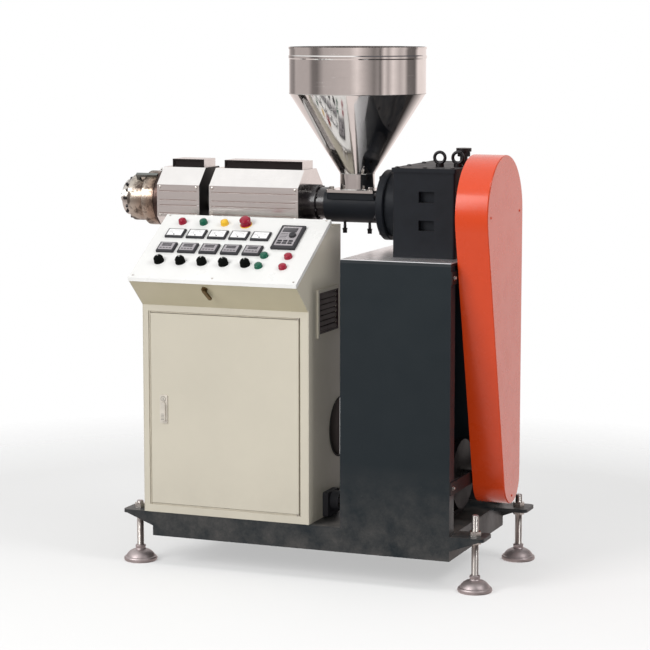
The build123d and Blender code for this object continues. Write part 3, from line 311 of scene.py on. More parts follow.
@shader_group("tempering colours", SKIN, Cold=0.0, Hot=1.0)
def heat_skin(s, given):
    """Tempering colours from bare steel through straw and rose to brown, along the barrel's axis."""
    where = s.object_place()
    wander = s.math("MULTIPLY", s.noise(where, scale=22.0, detail=4.0, rough=0.6), 0.03)
    warm = s.band(s.math("ADD", s.split(where)["X"], wander), given["Cold"], given["Hot"])
    tint = s.ramp(warm, [(0.0, (0.50, 0.48, 0.46)), (0.30, (0.40, 0.36, 0.31)), (0.55, (0.27, 0.20, 0.155)),
                         (0.80, (0.13, 0.085, 0.068)), (1.0, (0.05, 0.03, 0.025))])
    soot = s.band(s.noise(where, scale=30.0, detail=5.0, rough=0.7), 0.45, 0.61)
    turned = s.noise(s.vector("MULTIPLY", where, (900.0, 12.0, 12.0)), scale=1.0)
    rough = s.math("ADD", s.band(soot, 0.0, 1.0, 0.22, 0.55), s.band(turned, 0.3, 0.7, 0.0, 0.06))
    return {"Color": s.mix(s.math("MULTIPLY", soot, 0.85), tint, (0.035, 0.024, 0.019, 1)),
            "Roughness": rough, "Height": turned}


@shader_group("workshop dust", TONE, Color=GREY, Roughness=0.4, Dust=GREY, Reach=0.35, Lying=0.4, Splash=0.3)
def dust_layer(s, given):
    """Dust that lies on upward faces and thickens towards the floor."""
    where = s.object_place()
    normal = s.node("ShaderNodeTexCoord").outputs["Normal"]
    upward = s.band(s.split(normal)["Z"], 0.55, 0.95)
    near = s.band(s.split(where)["Z"], given["Reach"], 0.0)
    patch = s.band(s.noise(where, scale=9.0, detail=6.0, rough=0.7), 0.35, 0.75)
    grit = s.band(s.noise(where, scale=240.0, detail=3.0, rough=0.8), 0.4, 0.75)
    lying = s.math("MULTIPLY", upward, patch, given["Lying"])
    splash = s.math("MULTIPLY", near, patch, given["Splash"])
    most = s.math("MINIMUM", s.math("ADD", lying, splash), 0.85)
    amount = s.math("MULTIPLY", most, s.band(grit, 0.0, 1.0, 0.7, 1.0))
    return {"Color": s.mix(amount, given["Color"], given["Dust"]),
            "Roughness": s.math("ADD", given["Roughness"], s.math("MULTIPLY", amount, 0.35))}


@shader_group("faces that look one way", MASK, Way=(0.0, 0.0, 1.0))
def facing_mask(s, given):
    """A mask of the faces that look one way."""
    normal = s.node("ShaderNodeTexCoord").outputs["Normal"]
    turned = s.node("ShaderNodeVectorMath", {0: normal, 1: given["Way"]}, operation="DOT_PRODUCT")
    return {"Mask": s.band(turned.outputs["Value"], 0.55, 0.75)}


@shader_group("places between corners", MASK, Low=(0.0, 0.0, 0.0), High=(1.0, 1.0, 1.0))
def region_mask(s, given):
    """A mask of the places between two corners."""
    where = s.object_place()
    over = s.split(s.vector("SUBTRACT", where, given["Low"]))
    left = s.split(s.vector("SUBTRACT", given["High"], where))
    least = s.math("MINIMUM", *(side[axis] for side in (over, left) for axis in "XYZ"))
    return {"Mask": s.band(least, -0.0002, 0.0002)}


# Skins and masks with their values: each is a function that places its group in a material

def sprayed(paint, under, gloss=0.34, rub=0.3, peel=420.0):
    """Enamel over primer or bare metal."""
    return partial(enamel_skin, Paint=rgba(paint), Shade=rgba(paint, 0.93), Under=rgba(under), Peel=peel,
                   Rub=rub, Gloss=gloss)


def polished(colour, lines, polish, wave=0.0):
    """Bare sheet or turned metal with fine lines."""
    return partial(polish_skin, Metal=rgba(colour), Shade=rgba(colour, 0.88), Lines=lines, Polish=polish,
                   Wave=wave)


def cast(paint, gloss=0.46):
    """A painted or bare casting."""
    return partial(cast_skin, Paint=rgba(paint), Shade=rgba(paint, 1.3), Gloss=gloss)


def moulded(colour, gloss):
    """Moulded plastic."""
    return partial(moulded_skin, Plastic=rgba(colour), Worn=rgba(colour, 1.2), Gloss=gloss)


def tempered(cold, hot):
    """Steel with tempering colours between two places along the barrel."""
    return partial(heat_skin, Cold=cold, Hot=hot)


def facing(way):
    """Faces that look one way."""
    return partial(facing_mask, Way=way)


def region(start, end):
    """Places between two corners."""
    return partial(region_mask, Low=start, High=end)


def clear_tree(owner):
    """Turn on the nodes of a material or world, empty its tree and give a writer for it."""
    owner.use_nodes = True
    owner.node_tree.nodes.clear()
    return Shader(owner.node_tree)


def material(name, skin, depth, metallic=0.0, layers=(), lying=0.0, splash=0.0, coat=0.0, shine=0.5):
    """A material from a skin, with (mask, skin, metallic) layers over it and dust over all."""
    made = bpy.data.materials.new(name)
    s = clear_tree(made)
    got = skin(s)
    colour, rough, metal = got["Color"], got["Roughness"], metallic
    for mask, over, over_metal in layers:
        where, top = mask(s)["Mask"], over(s)
        colour = s.mix(where, colour, top["Color"])
        rough = s.blend(where, rough, top["Roughness"])
        if over_metal != metallic:
            metal = s.blend(where, metal, over_metal)
    if lying or splash:
        dust = rgba(bpy.context.scene.extruder_colours.dust)
        laid = dust_layer(s, Color=colour, Roughness=rough, Dust=dust, Lying=lying, Splash=splash)
        colour, rough = laid["Color"], laid["Roughness"]
    bump = s.node("ShaderNodeBump", {"Height": got["Height"], "Distance": depth, "Strength": 1.0})
    values = {"Base Color": colour, "Roughness": rough, "Metallic": metal, "Normal": bump.outputs[0],
              "Specular IOR Level": shine, "Coat Weight": coat, "Coat Roughness": COAT_ROUGHNESS}
    surface = s.node("ShaderNodeBsdfPrincipled", values).outputs[0]
    s.node("ShaderNodeOutputMaterial", {"Surface": surface})
    return made


# Values that several finishes share

SHEET_LINES = (9.0, 420.0, 420.0)     # grain of the rolled covers: few lines along X, many across
BAR_LINES = (30.0, 700.0, 700.0)      # grain along a machined bar
LATHE_LINES = (900.0, 20.0, 20.0)     # rings round a turned piece
PRIMER = (0.30, 0.27, 0.22)
DARK_PRIMER = (0.08, 0.08, 0.08)
COAT_ROUGHNESS = 0.2
HOT_THROUGH = (-2.0, -1.0)            # places beyond the die, so that the whole piece is hot
PAST = 1.0                            # a region reaches this far past a face that doesn't bound it


def cover_layers(node, shaded_end_x):
    """Dark bands on a cover's two upright sides as painted shade in its pressed lines, and its end in the gap
    between the covers made near black as painted shade.
    """
    lo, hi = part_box(node)
    plain_end, half_line, skin_deep = 0.0085, 0.0013, 0.0005
    # painted shade: darker, duller metal along each pressed line stands for the shade in the groove
    pressed = polished((0.30, 0.24, 0.22), SHEET_LINES, 0.3)
    layers = []
    for up in (0.029, 0.003, -0.013, -0.037):
        z = middle(node).z + up
        left_end = (lo.x + plain_end, lo.y - PAST, z - half_line)
        right_end = (hi.x - plain_end, hi.y + PAST, z + half_line)
        layers.append((region(left_end, right_end), pressed, 1.0))
    # painted shade: the end face in the narrow gap between the covers is made near black
    gap_end_shade = region((shaded_end_x - skin_deep, lo.y, lo.z), (shaded_end_x + skin_deep, hi.y, hi.z))
    return layers + [(gap_end_shade, cast((0.012, 0.010, 0.010)), 0.3)]


def inner_shade_region():
    """The cabinet's room, up to the inner faces of its sheets, which get the dark inside tone as painted
    shade.
    """
    lo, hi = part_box("cabinet_side_panels")
    overlap = 0.0003
    rim = bpy.context.scene.extruder_sizes.sheet - overlap
    top = high("cabinet_top_shelf").z - rim
    return region((lo.x + rim, lo.y, lo.z + rim), (hi.x - rim, hi.y - rim, top))


def louvre_shade_region():
    """The louvred insert inside the side vent's frame, painted dark as the shade between its louvres."""
    lo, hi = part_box("side_vent")
    rim = 0.0098
    return region((lo.x - PAST, lo.y + rim, lo.z + rim), (hi.x + PAST, hi.y - rim, hi.z - rim))


def enamel(paint, under=PRIMER, depth=0.00006, rub=0.12, gloss=0.33, peel=420.0, **more):
    """A sprayed finish."""
    return partial(material, skin=sprayed(paint, under, gloss, rub, peel), depth=depth, **more)


def metal(colour, lines, polish, depth=0.00001, wave=0.0, **more):
    """A bare metal finish."""
    return partial(material, skin=polished(colour, lines, polish, wave), depth=depth, metallic=1.0, **more)


def heated(cold, hot, depth=0.000006, metallic=1.0):
    """A finish with tempering colours between two places along the barrel."""
    return partial(material, skin=tempered(cold, hot), depth=depth, metallic=metallic)


def plastic(colour, gloss, depth=0.00002, **more):
    """A moulded finish."""
    return partial(material, skin=moulded(colour, gloss), depth=depth, **more)


def paints(colours):
    """Painted finishes."""
    # painted shade: the dark inside tone for the cabinet's inner faces and the apron's hidden face
    inside = sprayed(colours.inside, (0.02, 0.02, 0.02), 0.5)
    # painted shade: a near-black tone in place of the shade between the side vent's louvres
    louvre_shade = sprayed((0.030, 0.016, 0.018), (0.1, 0.08, 0.07), 0.4)
    # upward faces of the pedestal's top plate: bare ground metal, made pale and partly diffuse as a painted
    # highlight along the top
    ground = polished((0.88, 0.88, 0.89), (12.0, 520.0, 520.0), 0.26)
    # painted shade: the apron under the lid's lip is the cabinet paint made darker and yellower
    apron_shade_tone = [tone * darker for tone, darker in zip(colours.cabinet, (0.97, 0.94, 0.80))]
    return {
        "cabinet_enamel": enamel(colours.cabinet, lying=0.2, splash=0.3),
        "cabinet_shell": enamel(colours.cabinet, layers=[(inner_shade_region(), inside, 0.0)], lying=0.15,
                                splash=0.3),
        # painted shade: the apron's face towards the back and up, under the lid, takes the dark inside tone
        "apron_enamel": enamel(apron_shade_tone, layers=[(facing((0, 0.65, 0.76)), inside, 0.0)]),
        "vent_frame": enamel(colours.cabinet, layers=[(louvre_shade_region(), louvre_shade, 0.0)]),
        "console_enamel": enamel(colours.console, (0.45, 0.43, 0.38), gloss=0.30, rub=0.08),
        "stand_enamel": enamel(colours.stand, DARK_PRIMER, gloss=0.36, rub=0.4, lying=0.55, splash=0.55,
                               shine=0.22),
        # painted shade: a darker copy of the stand's paint for the crossbars, the motor and its terminal box,
        # which sit in shadow
        "shaded_enamel": enamel((0.016, 0.013, 0.014), (0.05, 0.05, 0.05), gloss=0.5, rub=0.4, shine=0.2),
        # painted highlight: the top plate's upward faces get the pale ground metal
        "plate_enamel": enamel(colours.stand, DARK_PRIMER, depth=0.00002,
                               layers=[(facing((0, 0, 1)), ground, 0.8)]),
        "guard_enamel": enamel(colours.guard, (0.40, 0.06, 0.02), depth=0.00003, gloss=0.24, rub=0.05,
                               peel=200.0, coat=0.7, splash=0.1, shine=0.15),
        "flange_enamel": enamel((0.016, 0.013, 0.015), (0.06, 0.05, 0.05), gloss=0.22, coat=0.25, shine=0.4),
        "dark_casting": partial(material, skin=cast(colours.casting), depth=0.00020, lying=0.3, splash=0.1,
                                shine=0.16),
    }


def metals(colours):
    """Bare, plated and heated metal."""
    die_cover, hopper_cover = "die_side_cover", "hopper_side_cover"
    # painted shade: the vent boxes' front and back faces are made near black as the shade in their slits
    vent_slit_shade = cast((0.009, 0.006, 0.006), 0.6)
    band_lo, band_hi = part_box("die_heater_band")
    return {
        "foot_casting": partial(material, skin=cast(colours.feet, 0.42), depth=0.00012, metallic=0.75,
                                lying=0.15, splash=0.3),
        "hopper_sheet": metal(colours.stainless, (16.0, 16.0, 700.0), 0.06, wave=9.0),
        "die_cover_sheet": metal(colours.stainless, SHEET_LINES, 0.17, wave=3.0,
                                 layers=cover_layers(die_cover, high(die_cover).x)),
        "hopper_cover_sheet": metal(colours.stainless, SHEET_LINES, 0.17, wave=3.0,
                                    layers=cover_layers(hopper_cover, low(hopper_cover).x)),
        "vent_box_sheet": metal(colours.stainless, SHEET_LINES, 0.2, shine=0.15,
                                layers=[(facing(way), vent_slit_shade, 0.0) for way in ((0, -1, 0), (0, 1, 0))]),
        "machined_steel": metal(colours.steel, BAR_LINES, 0.26),
        "turned_steel": metal(colours.steel, LATHE_LINES, 0.16),
        "aged_steel": metal((0.17, 0.18, 0.17), BAR_LINES, 0.34),
        "zinc_plate": metal(colours.plating, (160.0, 160.0, 160.0), 0.30, lying=0.15, splash=0.3),
        "black_oxide": metal((0.035, 0.033, 0.035), (140.0, 140.0, 140.0), 0.34),
        "brown_brass": metal((0.17, 0.12, 0.06), (200.0, 200.0, 200.0), 0.34),
        "band_heat": heated(band_lo.x - 0.03, band_hi.x + 0.06),
        "die_heat": heated(low("die_body").x + 0.030, high("die_flange").x + 0.02),
        "die_flange_heat": heated(*HOT_THROUGH, 0.00001, 0.8),
    }


def plastics(colours):
    """Plastic, rubber, print and glass."""
    made = {
        "black_plastic": plastic(colours.plastic, 0.38, shine=0.15),
        "knob_plastic": plastic((0.004, 0.0045, 0.004), 0.45, shine=0.02),
        "pale_plastic": plastic((0.56, 0.52, 0.46), 0.34),
        "grey_face": plastic((0.330, 0.310, 0.325), 0.34, shine=0.3),
        "window": plastic((0.050, 0.046, 0.052), 0.16, 0.000005, shine=0.3),
        "grey_key": plastic((0.130, 0.122, 0.130), 0.4, shine=0.2),
        "white_dial": plastic((0.80, 0.80, 0.80), 0.30),
        "print_black": plastic((0.010, 0.010, 0.010), 0.5),
        "print_white": plastic((0.78, 0.78, 0.76), 0.5),
        "rubber": plastic((0.012, 0.012, 0.012), 0.62, 0.00006),
        "gasket_rubber": plastic((0.47, 0.43, 0.35), 0.6, 0.00005),
        "gauge_glass": plastic((0.42, 0.24, 0.05), 0.06, 0.000005, coat=1.0),
    }
    for name in ("red", "green", "yellow"):
        made[name + "_cap"] = plastic(getattr(colours, name), 0.26, 0.00001, shine=0.25)
    return made


def finish(name):
    """The named finish, made the first time it is asked for."""
    ready = bpy.data.materials.get(name)
    if ready:
        return ready
    colours = bpy.context.scene.extruder_colours
    return (paints(colours) | metals(colours) | plastics(colours))[name](name)


def dress(finish_name, *nodes):
    """Give CAD nodes a finish."""
    for node in nodes:
        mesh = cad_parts[node].data
        mesh.materials.clear()
        mesh.materials.append(finish(finish_name))


# Mesh helpers

def place(origin, out=Z, across=X):
    """A matrix at origin whose Z points along out and whose X lies along across as far as it can."""
    z_axis = Vector(out).normalized()
    x_axis = Vector(across)
    x_axis = (x_axis - z_axis * x_axis.dot(z_axis)).normalized()
    y_axis = z_axis.cross(x_axis)
    turn = Matrix((x_axis, y_axis, z_axis)).transposed().to_4x4()
    return Matrix.Translation(Vector(origin)) @ turn


def add_box(bm, where, size, centre=(0, 0, 0), edge=0.0, steps=2):
    """A box sized and centred in the place's own axes, rounded where an edge radius is given."""
    sized = where @ Matrix.Translation(Vector(centre)) @ Matrix.Diagonal((*size, 1.0))
    verts = bmesh.ops.create_cube(bm, size=1.0, matrix=sized)["verts"]
    if edge > 0:
        edges = list({e for v in verts for e in v.link_edges})
        bmesh.ops.bevel(bm, geom=edges, offset=edge, segments=steps, affect="EDGES", profile=0.5, material=-1,
                        clamp_overlap=True)


def add_turned(bm, where, profile, steps=48, angle=math.tau):
    """A shape turned about the place's Z from (radius, height) points. A part turn gets closed ends."""
    old = set(bm.verts)
    verts = [bm.verts.new(where @ Vector((r, 0, h))) for r, h in profile]
    edges = [bm.edges.new(pair) for pair in zip(verts, verts[1:])]
    full = angle >= math.tau
    bmesh.ops.spin(bm, geom=verts + edges, cent=where.translation, axis=where.col[2].to_3d(), angle=angle,
                   steps=steps, use_merge=full)
    bmesh.ops.remove_doubles(bm, verts=[v for v in bm.verts if v not in old], dist=0.000002)
    if not full:
        bmesh.ops.holes_fill(bm, edges=[e for e in bm.edges if e.is_boundary], sides=0)


def add_ring(bm, where, inner, outer, thick, base=0.0, edge=0.0004, steps=40):
    """A flat ring with chamfered upper edges."""
    top = base + thick
    profile = [(inner, base), (outer, base), (outer, top - edge), (outer - edge, top), (inner + edge, top),
               (inner, top - edge), (inner, base)]
    add_turned(bm, where, profile, steps)


def add_hexagon(bm, where, flats, height, base=0.0):
    """A hexagon head or nut with chamfered corners."""
    radius, straight = flats / math.sqrt(3), height * 0.84
    for bottom, tall, top_radius in ((0, straight, radius), (straight, height - straight, radius * 0.88)):
        centre = Matrix.Translation((0, 0, base + bottom + tall / 2))
        bmesh.ops.create_cone(bm, cap_ends=True, segments=6, radius1=radius, radius2=top_radius, depth=tall,
                              matrix=where @ centre)


def add_disc(bm, where, radius, thick, base=0.0, edge=0.0, steps=24):
    """A disc with a chamfered upper edge."""
    edge = min(edge, thick * 0.5, radius * 0.5)
    profile = [(0, base), (radius, base), (radius, base + thick - edge), (radius - edge, base + thick),
               (0, base + thick)]
    add_turned(bm, where, profile, steps)


def add_bolt(bm, where, flats):
    """A hexagon bolt with its washer."""
    washer_radius, washer, head = flats * 0.85, flats * 0.14, flats * 0.62
    add_disc(bm, where, washer_radius, washer, -UNDER, edge=0.0003, steps=20)
    add_hexagon(bm, where, flats, head, washer - UNDER)


def add_cap_screw(bm, where, width):
    """A cap screw: a round head with its socket."""
    r, h = width / 2, width * 0.62  # radius and height of the head
    profile = [(0, -UNDER), (r, -UNDER), (r, h * 0.9), (r * 0.9, h), (r * 0.55, h), (r * 0.5, h * 0.5),
               (0, h * 0.45)]
    add_turned(bm, where, profile, steps=18)


def add_screw(bm, where, width):
    """A pan head screw with a dimple."""
    r, h = width / 2, width * 0.30  # radius and height of the head
    profile = [(0, -UNDER), (r, -UNDER), (r, h * 0.35), (r * 0.86, h * 0.80), (r * 0.5, h),
               (r * 0.25, h * 0.95), (0, h * 0.55)]
    add_turned(bm, where, profile, steps=14)


def add_thread(bm, where, inner, outer, length, pitch):
    """A thread's outside: ridges along a sleeve that sits in the stem's surface."""
    count = max(int(length / pitch), 1)
    step, inside = length / count, inner * 0.97
    profile = [(inside, 0.0)]
    for i in range(count):
        profile += [(inner, i * step), (outer, (i + 0.5) * step)]
    profile += [(inner, length), (inside, length), (inside, 0.0)]
    add_turned(bm, where, profile, steps=18)


def moved(where, by=(0, 0, 0), degrees=0.0):
    """A place moved in its own axes and turned about its Z."""
    return where @ Matrix.Translation(by) @ Matrix.Rotation(math.radians(degrees), 4, "Z")


def ends(start, end, inset):
    """The two places that lie inside the ends of a stretch."""
    return start + inset, end - inset


def both_sides(centre, reach):
    """The two places at one distance from a centre."""
    return centre - reach, centre + reach


def circle_places(centre, axis, radius, count, start=0.0):
    """Places on a circle, each looking along the axis."""
    base = place(centre, axis, Z if abs(Vector(axis).z) < 0.9 else X)
    for i in range(count):
        a = start + math.tau * i / count
        yield base @ Matrix.Translation((radius * math.cos(a), radius * math.sin(a), 0))


def add_bead(bm, start, end, radius, pitch=0.006):
    """A weld bead: overlapping low ripples from start to end."""
    start, end = Vector(start), Vector(end)
    count = max(int((end - start).length / pitch), 2)
    unevenness, wave = 0.12, 2.4
    for i in range(count):
        size = radius * (1.0 + unevenness * math.sin(i * wave))
        spot = start.lerp(end, i / (count - 1))
        shape = Matrix.Translation(spot) @ Matrix.Diagonal((size, size, size, 1.0))
        bmesh.ops.create_icosphere(bm, subdivisions=1, radius=1.0, matrix=shape)


def add_object(name, data):
    """An object linked to the scene."""
    made = bpy.data.objects.new(name, data)
    bpy.context.scene.collection.objects.link(made)
    return made


def look(made, where, target):
    """Put an object at a place, turned so that it looks at a target."""
    made.location = where
    made.rotation_euler = (Vector(target) - Vector(where)).to_track_quat("-Z", "Y").to_euler()


def piece(name, bm, finish_name="zinc_plate", slot="zinc", body="frame", smooth=35.0):
    """Make an object from the mesh, give it a finish and let it ride on its body."""
    bmesh.ops.recalc_face_normals(bm, faces=bm.faces[:])
    mesh = bpy.data.meshes.new(name)
    bm.to_mesh(mesh)
    bm.free()
    mesh.shade_smooth()
    mesh.set_sharp_from_angle(angle=math.radians(smooth))
    mesh.materials.append(finish(finish_name))
    made = add_object(name, mesh)
    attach(made, body)


def fasteners(name, add_one, width, places, *finish_and_slot, body="frame"):
    """A piece made of equal bolts or screws."""
    bm = bmesh.new()
    for where in places:
        add_one(bm, where, width)
    piece(name, bm, *finish_and_slot, body=body)


def lid_place(across, up, height=0.0):
    """A place on the console lid: across from the cabinet's left side, up the slope from the lip."""
    sizes = bpy.context.scene.extruder_sizes
    slope_y, slope_z = math.cos(sizes.slope), math.sin(sizes.slope)
    lip = Vector((low("console_lid").x, low("console_lid").y, low("console_lid").z + sizes.lid * slope_y))
    normal = Vector((0, -slope_z, slope_y))
    return place(lip + X * across + Vector((0, slope_y, slope_z)) * up + normal * height, normal, X)


def hopper_flange_top():
    """Height of the upper face of the hopper's square flange."""
    thick = 0.008
    return high("feed_throat").z + thick


def columns():
    """Distances of the instrument columns from the cabinet's left side."""
    sizes = bpy.context.scene.extruder_sizes
    return [sizes.first_column + i * sizes.column_pitch for i in range(sizes.columns)]


# Operators: one for each group of pieces

class EXTRUDER_OT_base(bpy.types.Operator):
    """Base, pedestal and feet, with weld beads, foot threads and crossbar bolts"""

    bl_idname = "extruder.base"
    bl_label = "Base and Feet"

    def execute(self, context):
        dress("stand_enamel", "base_long_rails", "base_end_plates", "base_deck", "corner_ears",
              "pedestal_front_panel", "pedestal_back_panel", "pedestal_left_panel")
        dress("shaded_enamel", "guard_crossbars")
        dress("plate_enamel", "pedestal_top_plate")
        dress("foot_casting", "levelling_feet")
        dress("zinc_plate", "foot_nuts")
        self.welds()
        self.threads(context.scene.extruder_sizes.thread)
        self.bar_bolts()
        return {"FINISHED"}

    def welds(self):
        """Beads where the ears meet the base and the pedestal meets the deck."""
        bm = bmesh.new()
        lo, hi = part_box("base_deck")
        start = low("pedestal_front_panel").x
        ear_wide, inset, half_sheet, lift = 0.088, 0.008, 0.0012, 0.001
        ear_bead, side_bead, end_bead = 0.003, 0.0020, 0.0028
        for x, y in product((lo.x, hi.x), (lo.y, hi.y - ear_wide)):
            add_bead(bm, (x, y + inset, hi.z), (x, y + ear_wide - inset, hi.z), ear_bead)
        for y in ends(lo.y, hi.y, half_sheet):
            add_bead(bm, (start, y, hi.z + lift), (hi.x - 2 * lift, y, hi.z + lift), side_bead)
        add_bead(bm, (start, lo.y + inset, hi.z), (start, hi.y - inset, hi.z), end_bead)
        piece("base_welds", bm, "stand_enamel", "machine_paint")

    def threads(self, pitch):
        """Threads on the stems of the feet, below and above their nuts."""
        bm = bmesh.new()
        lo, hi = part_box("levelling_feet")
        nuts_lo, nuts_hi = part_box("foot_nuts")
        rim, socket, stem, ridge, gap, point = 0.049, 0.047, 0.0095, 0.0008, 0.0005, 0.003
        left_tops, right_tops = (0.008, 0.008), (0.046, 0.024)
        for x, tops in zip(ends(lo.x, hi.x, rim), (left_tops, right_tops)):
            for y, top in zip(ends(lo.y, hi.y, rim), tops):
                below = (socket + gap, nuts_lo.z - socket - 2 * gap)
                above = (nuts_hi.z + gap, top - point)
                for z, length in (below, above):
                    add_thread(bm, place((x, y, z)), stem, stem + ridge, length, pitch)
        piece("foot_threads", bm, smooth=25.0)

    def bar_bolts(self):
        """Bolts that tie the crossbars to the pedestal's return flanges."""
        lo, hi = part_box("guard_crossbars")
        gap, inset_z, inset_y, flats = 0.005, 0.018, 0.019, 0.008
        face = low("belt_guard").x - gap
        corners = product(ends(lo.z, hi.z, inset_z), ends(lo.y, hi.y, inset_y))
        fasteners("crossbar_bolts", add_bolt, flats, [place((face, y, z), X, Z) for z, y in corners])


class EXTRUDER_OT_cabinet(bpy.types.Operator):
    """Cabinet, door, vent, inlet and latch"""

    bl_idname = "extruder.cabinet"
    bl_label = "Cabinet and Door"

    def execute(self, context):
        dress("cabinet_enamel", "cabinet_front_frame", "cabinet_door")
        dress("cabinet_shell", "cabinet_side_panels", "cabinet_back_panel", "cabinet_floor",
              "cabinet_top_shelf")
        dress("apron_enamel", "console_apron")
        dress("vent_frame", "side_vent")
        dress("zinc_plate", "door_hinge_pins", "console_hinges")
        dress("black_plastic", "power_inlet")
        dress("pale_plastic", "door_lock")
        dress("brown_brass", "console_latch")
        self.gasket()
        self.lock()
        self.inlet()
        self.vent(context.scene.extruder_sizes.screw * 0.65)
        self.notch_trim()
        self.hinge_screws()
        return {"FINISHED"}

    def gasket(self):
        """A soft strip in the door's gap, thin on the hinge side where the door's edge turns past it."""
        bm = bmesh.new()
        lo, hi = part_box("cabinet_door")
        mid, size = (lo + hi) / 2, hi - lo
        gap, strip, thin, deep, edge = 0.006, 0.0045, 0.0025, 0.013, 0.0003
        y = lo.y + 0.0095
        for x, wide in ((lo.x - gap + strip / 2, strip), (hi.x + gap - thin / 2, thin)):
            add_box(bm, place((x, y, mid.z)), (wide + UNDER, deep, size.z + 2 * gap), edge=edge)
        for z in ends(lo.z, hi.z, strip / 2 - gap):
            add_box(bm, place((mid.x, y, z)), (size.x, deep, strip + UNDER), edge=edge)
        piece("door_gasket", bm, "gasket_rubber", "black_plastic")

    def lock(self):
        """The lock's key slot with its ring, the lever's grip lines and the pivot of the lever. The key slot
        is a flat dark mark of painted shade in place of a hole.
        """
        dark, pin = bmesh.new(), bmesh.new()
        lo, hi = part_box("door_lock")
        x, proud, key_down, pivot_down = middle("door_lock").x, 0.006, 0.012, 0.028
        key = place((x, low("cabinet_door").y - proud, hi.z - key_down), -Y)
        # painted shade: the key slot is a flat dark mark, not a hole
        add_box(dark, key, size=(0.0016, 0.0090, 0.0007), centre=(0, 0, 0.0002), edge=0.0003)
        add_ring(dark, key, inner=0.0066, outer=0.0074, thick=0.0006, base=-0.0002, edge=0.0002, steps=24)
        lines, first, pitch = 5, 0.012, 0.004
        for i in range(lines):
            grip = place((x, lo.y, lo.z + first + i * pitch), -Y)
            add_box(dark, grip, size=(0.0096, 0.0010, 0.0008), centre=(0, 0, -0.0001), edge=0.0003)
        pivot = place((x, lo.y + UNDER, hi.z - pivot_down), -Y)
        add_disc(pin, pivot, radius=0.0026, thick=0.0003, edge=0.0001, steps=16)
        piece("lock_lines", dark, "print_black", "black_plastic", "door")
        piece("lock_pivot", pin, body="door")

    def inlet(self):
        """The face and the five pins inside the open power inlet."""
        face, pins = bmesh.new(), bmesh.new()
        hi = high("power_inlet")
        face_in, pins_in, centre_down, pin_ring, count = 0.0172, 0.0145, 0.029, 0.015, 5
        y, z = middle("power_inlet").y, hi.z - centre_down
        spot = place((hi.x - face_in, y, z), X, Z)
        add_disc(face, spot, radius=0.0252, thick=0.0030, edge=0.0006, steps=32)
        for pin in circle_places((hi.x - pins_in, y, z), X, pin_ring, count):
            add_disc(pins, pin, radius=0.0027, thick=0.0105, edge=0.0008, steps=12)
        piece("inlet_face", face, "grey_face", "black_plastic")
        piece("inlet_pins", pins, "brown_brass", "brass")

    def vent(self, width):
        """Screws in the corners of the side vent's frame."""
        lo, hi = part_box("side_vent")
        inset = 0.005
        corners = product(ends(lo.y, hi.y, inset), ends(lo.z, hi.z, inset))
        fasteners("vent_screws", add_screw, width, [place((hi.x, y, z), X, Z) for y, z in corners])

    def notch_trim(self):
        """Rubber trim on the edge of the half-round cable notch."""
        bm = bmesh.new()
        in_face, centre_up = 0.0035, 0.246
        x, y = high("cabinet_side_panels").x - in_face, high("cabinet_back_panel").y
        spot = place((x, y, high("base_deck").z + centre_up), X, Z)
        inner, outer, deep, round_edge = 0.0850, 0.0905, 0.0050, 0.0010
        profile = [(inner, 0.0), (outer, 0.0), (outer, round_edge), (outer - round_edge, deep),
                   (inner + round_edge, deep), (inner, deep - round_edge), (inner, 0.0)]
        add_turned(bm, spot, profile, steps=40, angle=math.pi)
        piece("notch_trim", bm, "rubber", "black_plastic")

    def hinge_screws(self):
        """Screws in the leaves of the console's hinges."""
        lo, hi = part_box("console_hinges")
        leaf, inset, inset_y, thick, width = 0.060, 0.010, 0.008, 0.002, 0.006
        across = (*ends(lo.x, lo.x + leaf, inset), *ends(hi.x - leaf, hi.x, inset))
        spots = [place((x, hi.y - inset_y, lo.z + thick)) for x in across]
        fasteners("hinge_screws", add_screw, width, spots)


